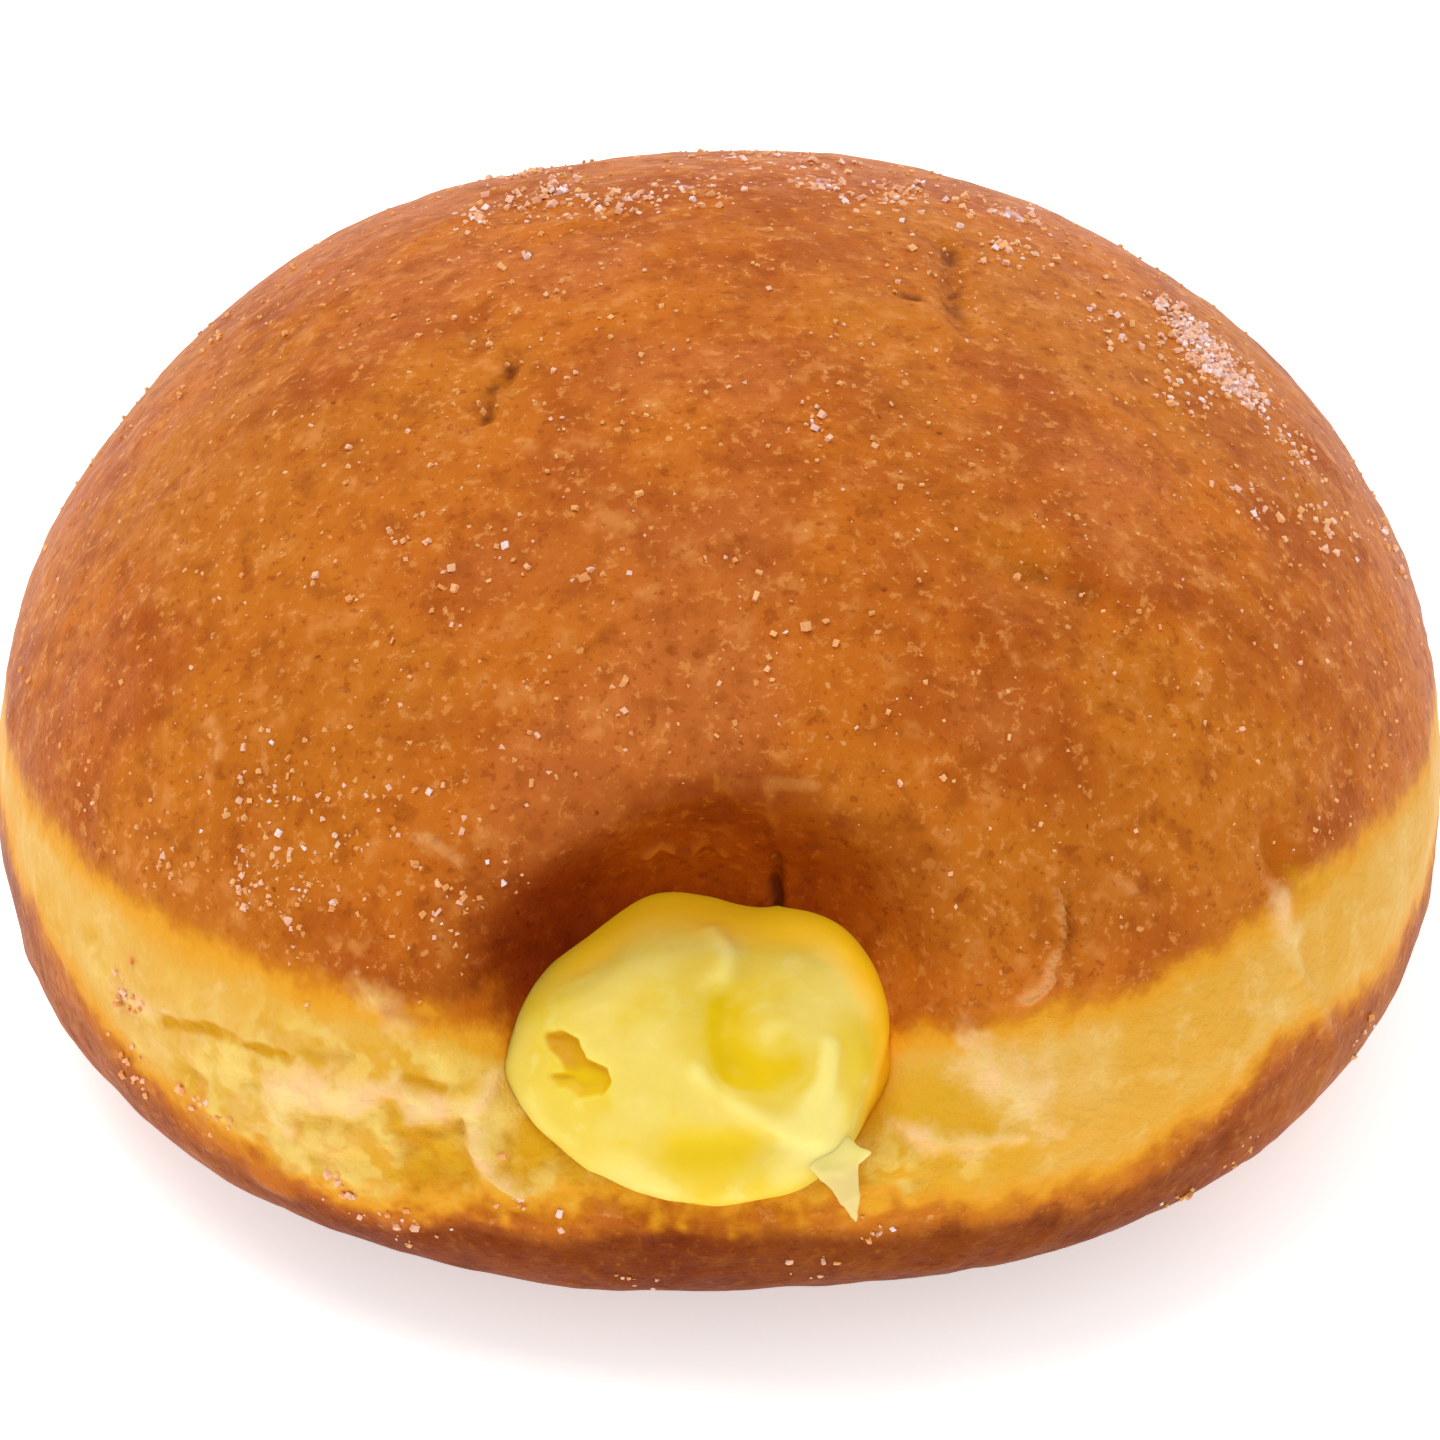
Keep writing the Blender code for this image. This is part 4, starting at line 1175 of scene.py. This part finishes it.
# Sugar: small blocks with eight corners. Each group has its places, how many grains fall round
# each one, how far they spread, how large they are and how toasted the darkest one is (0 is
# toasted, 1 is white). Dust is a colour where the sugar is thickest: its middle and its strength.
sugarLook = {
    "seed": 21,
    "smallness": 1.6,
    "groups": (
        # single grains
        {"darkest": 0, "count": 4, "spread": 0.7, "size": (0.18, 0.5), "places": (
            (-12.3, 4.1, 31.1), (11.1, 5.3, 31.3), (4.7, -12.9, 30.9), (5.8, -14.7, 30.4),
            (1.1, -24.1, 27), (-4.6, -26.7, 25.4), (-12.2, -21, 27.2), (-16.7, -19.9, 26.3),
            (5.6, -26.4, 25.5), (-7.4, -24.3, 26.4), (-5.4, -30.1, 23.1), (-10.9, -31.1, 21.5),
            (-9.2, -32.9, 20.4), (-20.5, -21.7, 24.1), (-22.3, -20.1, 24), (-14.9, -22.4, 25.8),
            (-5.5, -22.8, 27.4), (-4.4, -18.5, 29.2))},
        # back rim
        {"darkest": 0.5, "count": 46, "spread": 1.6, "size": (0.14, 0.46), "places": (
            (-0.9, 12, 31.3), (2.5, 18.8, 29.2), (5.8, 13.9, 30.6), (9.6, 11.2, 30.7), (12.1, 13.7, 29.6),
            (17.6, 15, 27.8), (17.4, 8.3, 29.3), (-12.5, 20.4, 27.3), (-10.7, 15.1, 29.6),
            (-8.7, 10.8, 30.9), (-14.5, 12.3, 29.4), (-4.8, 10.5, 31.4))},
        # thick patch
        {"darkest": 0.72, "count": 58, "spread": 1.0, "size": (0.13, 0.42), "places": (
            (27.2, 8.6, 24.6), (28.4, 7.4, 24.1), (28.9, 5.9, 24.1), (27.6, 5.4, 24.9), (29.6, 4.6, 23.6),
            (30.4, 3.2, 23.1), (31, 1.8, 22.7), (29.2, 3.0, 24), (31.4, 4.2, 22.3), (30.6, 6.4, 22.6))},
        # right side
        {"darkest": 0.4, "count": 26, "spread": 1.2, "size": (0.16, 0.45), "places": (
            (22.8, 1.9, 27.6), (27.6, 2.6, 25), (28.4, 1.1, 24.5), (26.6, -2.4, 25.6), (33.8, -0.3, 20.5),
            (34.5, -0.5, 19.8), (34.6, -6.1, 19.4), (30.6, -9.1, 22.3), (37, -4.2, 17), (40, 1.1, 13.2))},
        # left front
        {"darkest": 0, "count": 18, "spread": 1.2, "size": (0.14, 0.38), "places": (
            (-25.6, -31, 14.3), (-26.2, -31.8, 12.8), (-23.9, -32.1, 14.5), (-23, -33.2, 13.9),
            (-24.5, -33.6, 12.2), (-23.6, -34.6, 11.5), (-21.9, -33.7, 14.3), (-19.4, -33.3, 16.3),
            (-24.2, -29.7, 16.8), (-17.9, -32.6, 17.9), (-15.2, -33.3, 18.3), (-16.5, -36.8, 13.6),
            (-13.2, -37.6, 14.1), (-14.9, -38.1, 12.5), (-11.3, -37.1, 15.5), (-30.1, -29, 11.8),
            (-26.6, -28.1, 16.3), (-20.5, -31.5, 17.4))},
        # lower crust
        {"darkest": 0, "count": 8, "spread": 0.9, "size": (0.15, 0.42), "places": (
            (26.5, -35.1, -7.4), (37.6, -24.3, -4.7), (-12.1, -42.7, -0.2), (-10.4, -43.1, -1.3),
            (-16.7, -41.3, -4), (-20.6, -39.7, -3.5), (-4.5, -42.8, -7.4), (4.4, -43.3, -6.2),
            (8.3, -43.3, -4), (-34.1, -29.4, 1.9), (-33.4, -30, 3.1), (-34.1, -29.5, -2.4),
            (-33.1, -30.6, -2.6), (-29, -34.5, -1.6), (-28.5, -35, -2.4), (-20.9, -39.5, -4),
            (-18.2, -40.4, -5.8), (29.7, -33.4, -5.9))},
    ),
    "strewn": {"count": 2600, "palest": 0.72, "lowest": 9.5, "mouthClear": 14.0, "size": (0.1, 0.32),
               "drawn": 6, "smallness": 2},
    "dust": (
        ((28.2, 7.2, 24.3), 0.76),
        ((30.6, 3.2, 23), 0.82),
        ((17.6, 15, 27.8), 0.58),
        ((-1, 13, 31.2), 0.5),
        ((6, 14, 30.6), 0.5),
    ),
    "dustSpread": 2.6,
    "sink": 0.25,
    "stretch": (0.5, 1.2),
    "jitter": (-0.3, 0.2),
    "toasted": (0.74, 0.31, 0.09),
    "peach": (0.86, 0.43, 0.17),
    "pink": (0.86, 0.47, 0.31),
    "white": (0.91, 0.72, 0.71),
    "tints": (
        ("tint", 0.2, 0.5, "peach", 1),
        ("tint", 0.5, 0.75, "pink", 1),
        ("tint", 0.88, 0.98, "white", 1),
    ),
    "fine": (5000, 2, 0.55),
    "bump": (0.2, 0.00005),
    "shader": {
        "Roughness": 0.4,
        "Subsurface Weight": 0.3,
        "Subsurface Radius": (1.0, 0.8, 0.6),
        "Subsurface Scale": 0.0005,
        "Specular IOR Level": 0.1,
    },
}


# Random sizes between two ends; a power above 1 leans them to the small one.
def randomSizes(rng, ends, count, power):
    return ends[0] + (ends[1] - ends[0]) * rng.random(count) ** power


# Directions, sizes and tints of the grains: normal draws round each place, then some strewn evenly
# over the crown.
def grainSpots():
    s = sugarLook
    rng = np.random.default_rng(s["seed"])
    aims, sizes, tints = [], [], []
    for group in s["groups"]:
        middles = np.repeat(np.array(group["places"], float), group["count"], axis=0)
        aims.append(middles + rng.normal(size=middles.shape) * group["spread"])
        sizes.append(randomSizes(rng, group["size"], len(middles), s["smallness"]))
        tints.append(rng.uniform(group["darkest"], 1, len(middles)))
    strewn = s["strewn"]
    plain = plainBun(unit(rng.normal(size=(strewn["count"] * strewn["drawn"], 3))))
    reach = np.hypot(plain[:, 0] - mouthShape["x"], plain[:, 2] - mouthShape["z"])
    good = (plain[:, 2] > strewn["lowest"]) & ((reach > strewn["mouthClear"]) | (plain[:, 1] > 0))
    aims.append(plain[good][: strewn["count"]])
    sizes.append(randomSizes(rng, strewn["size"], len(aims[-1]), strewn["smallness"]))
    tints.append(rng.random(len(aims[-1])) * strewn["palest"])
    return unit(np.concatenate(aims)), np.concatenate(sizes), np.concatenate(tints), rng


# Each grain is a unit cube's corners, stretched, turned by a random rotation and set on the skin.
def makeSugar():
    s = sugarLook
    aims, sizes, tints, rng = grainSpots()
    number = len(sizes)
    centres = bunSkin(aims) + aims * (sizes * (0.5 - s["sink"]) + 0.5 * skinRelief["crustStep"])[:, None]
    corners = np.array(list(np.ndindex(2, 2, 2))) - 0.5
    stretch = rng.uniform(*s["stretch"], (number, 1, 3)) * sizes[:, None, None]
    jitter = 1 + rng.uniform(*s["jitter"], (number, 8, 3))
    w, x, y, z = unit(rng.normal(size=(number, 4))).T
    turned = np.stack([
        np.stack([1 - 2 * (y * y + z * z), 2 * (x * y - z * w), 2 * (x * z + y * w)], axis=-1),
        np.stack([2 * (x * y + z * w), 1 - 2 * (x * x + z * z), 2 * (y * z - x * w)], axis=-1),
        np.stack([2 * (x * z - y * w), 2 * (y * z + x * w), 1 - 2 * (x * x + y * y)], axis=-1),
    ], axis=1)
    blocks = np.einsum("nij,nkj->nki", turned, corners * stretch * jitter) + centres[:, None]
    blocks = (blocks + (0, 0, bunShape["baseHeight"])) * mm
    sides = np.array(((0, 1, 3, 2), (4, 6, 7, 5), (0, 4, 5, 1), (2, 3, 7, 6), (0, 2, 6, 4), (1, 5, 7, 3)))
    faces = (sides[None] + 8 * np.arange(number)[:, None, None]).reshape(-1, 4)
    mesh = bpy.data.meshes.new("sugar")
    mesh.from_pydata(blocks.reshape(-1, 3).tolist(), [], faces.tolist())
    addAttribute(mesh, "tint", np.repeat(tints, 8))
    piece = finishPiece("sugar", mesh)
    mesh.shade_flat()
    return piece


# From toasted over peach and pink to white, by the tint of each grain.
def sugarMaterial():
    s = sugarLook
    made, tree = newMaterial("sugar grains")
    tint = attributeNode(tree, "tint")
    tone = addTints(tree, s["toasted"], {"tint": tint}, s, s["tints"])
    normal = bumpNode(tree, noiseNode(tree, objectCoordinates(tree), *s["fine"]), *s["bump"])
    finishMaterial(tree, tone, normal, s["shader"])
    return made


bun = makeBun()
bun.data.materials.append(crustMaterial())
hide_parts("dough")
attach(bun, "root")
print("bun made:", len(bun.data.polygons), "faces")

custard = makeCustard()
custard.data.materials.append(custardMaterial())
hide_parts("custard")
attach(custard, "root")
print("custard made:", len(custard.data.polygons), "faces")

drip = makeDrip()
drip.data.materials.append(dripMaterial())
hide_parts("custard")
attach(drip, "root")
print("drip made:", len(drip.data.polygons), "faces")

sugar = makeSugar()
sugar.data.materials.append(sugarMaterial())
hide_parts("dough")
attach(sugar, "root")
print("sugar made:", len(sugar.data.polygons) // 6, "grains")

# The camera looks down at the mouth. Its distance and lens give the photograph's framing.
cameraView = {
    "elevation": 35.0,
    "distance": 308.0,
    "targetHeight": 0.7,
    "focalPixels": 4985.0,
    "imagePixels": 1440.0,
    "sensor": 36.0,
}


def makeCamera():
    v = cameraView
    tilt = math.radians(v["elevation"])
    target = Vector((0, 0, bunShape["baseHeight"] + v["targetHeight"])) * mm
    camera = bpy.data.objects.new("camera", bpy.data.cameras.new("camera"))
    bpy.context.scene.collection.objects.link(camera)
    camera.location = target + Vector((0, -math.cos(tilt), math.sin(tilt))) * v["distance"] * mm
    camera.rotation_euler = (camera.location - target).to_track_quat("Z", "Y").to_euler()
    camera.data.sensor_width = v["sensor"]
    camera.data.lens = v["focalPixels"] / v["imagePixels"] * v["sensor"]
    camera.data.clip_start = 0.01
    bpy.context.scene.camera = camera


# The lights look at a place at this height above the table, in metres like their own places.
studio = {
    "world": 0.72,
    "aimHeight": 0.02,
    "lights": (
        {"name": "key light", "from": (-0.25, 0.05, 0.75), "size": 0.4, "power": 2.55},
        {"name": "back light", "from": (0.3, 0.55, 0.4), "size": 0.5, "power": 1.2},
        {"name": "front light", "from": (0.15, -0.8, 0.3), "size": 0.6, "power": 0.55},
    ),
    "floorSize": 6.0,
    "floorGap": 0.2,
    "floorGlow": 0.5,
    "floorColours": ((0.94, 0.94, 0.94), (0.92, 0.92, 0.92)),
    "floorNoise": (6, 2, 0.55),
    "floorBump": (0.02, 0.0005),
}


def makeStudio():
    scene = bpy.context.scene
    scene.view_settings.view_transform = "Standard"
    scene.world = bpy.data.worlds.new("pale room")
    scene.world.use_nodes = True
    background = scene.world.node_tree.nodes["Background"]
    setSockets(background, {"Color": (1, 1, 1, 1), "Strength": studio["world"]})
    middle = Vector((0, 0, studio["aimHeight"]))
    for light in studio["lights"]:
        lamp = bpy.data.lights.new(light["name"], "AREA")
        lamp.size = light["size"]
        lamp.energy = light["power"]
        holder = bpy.data.objects.new(light["name"], lamp)
        scene.collection.objects.link(holder)
        holder.location = light["from"]
        holder.rotation_euler = (holder.location - middle).to_track_quat("Z", "Y").to_euler()
    half = studio["floorSize"] / 2
    below = -studio["floorGap"] * mm
    corners = [(-half, -half, below), (half, -half, below), (half, half, below), (-half, half, below)]
    mesh = bpy.data.meshes.new("floor")
    mesh.from_pydata(corners, [], [(0, 1, 2, 3)])
    floor = bpy.data.objects.new("floor", mesh)
    scene.collection.objects.link(floor)
    made, tree = newMaterial("pale floor")
    soft = noiseNode(tree, objectCoordinates(tree), *studio["floorNoise"])
    tone = mixColours(tree, soft, *studio["floorColours"])
    normal = bumpNode(tree, soft, *studio["floorBump"])
    settings = {
        "Roughness": 0.8,
        "Specular IOR Level": 0.2,
        "Emission Color": (1, 1, 1, 1),
        "Emission Strength": studio["floorGlow"],
    }
    finishMaterial(tree, tone, normal, settings)
    mesh.materials.append(made)


makeCamera()
makeStudio()
print("camera, lights and floor ready")
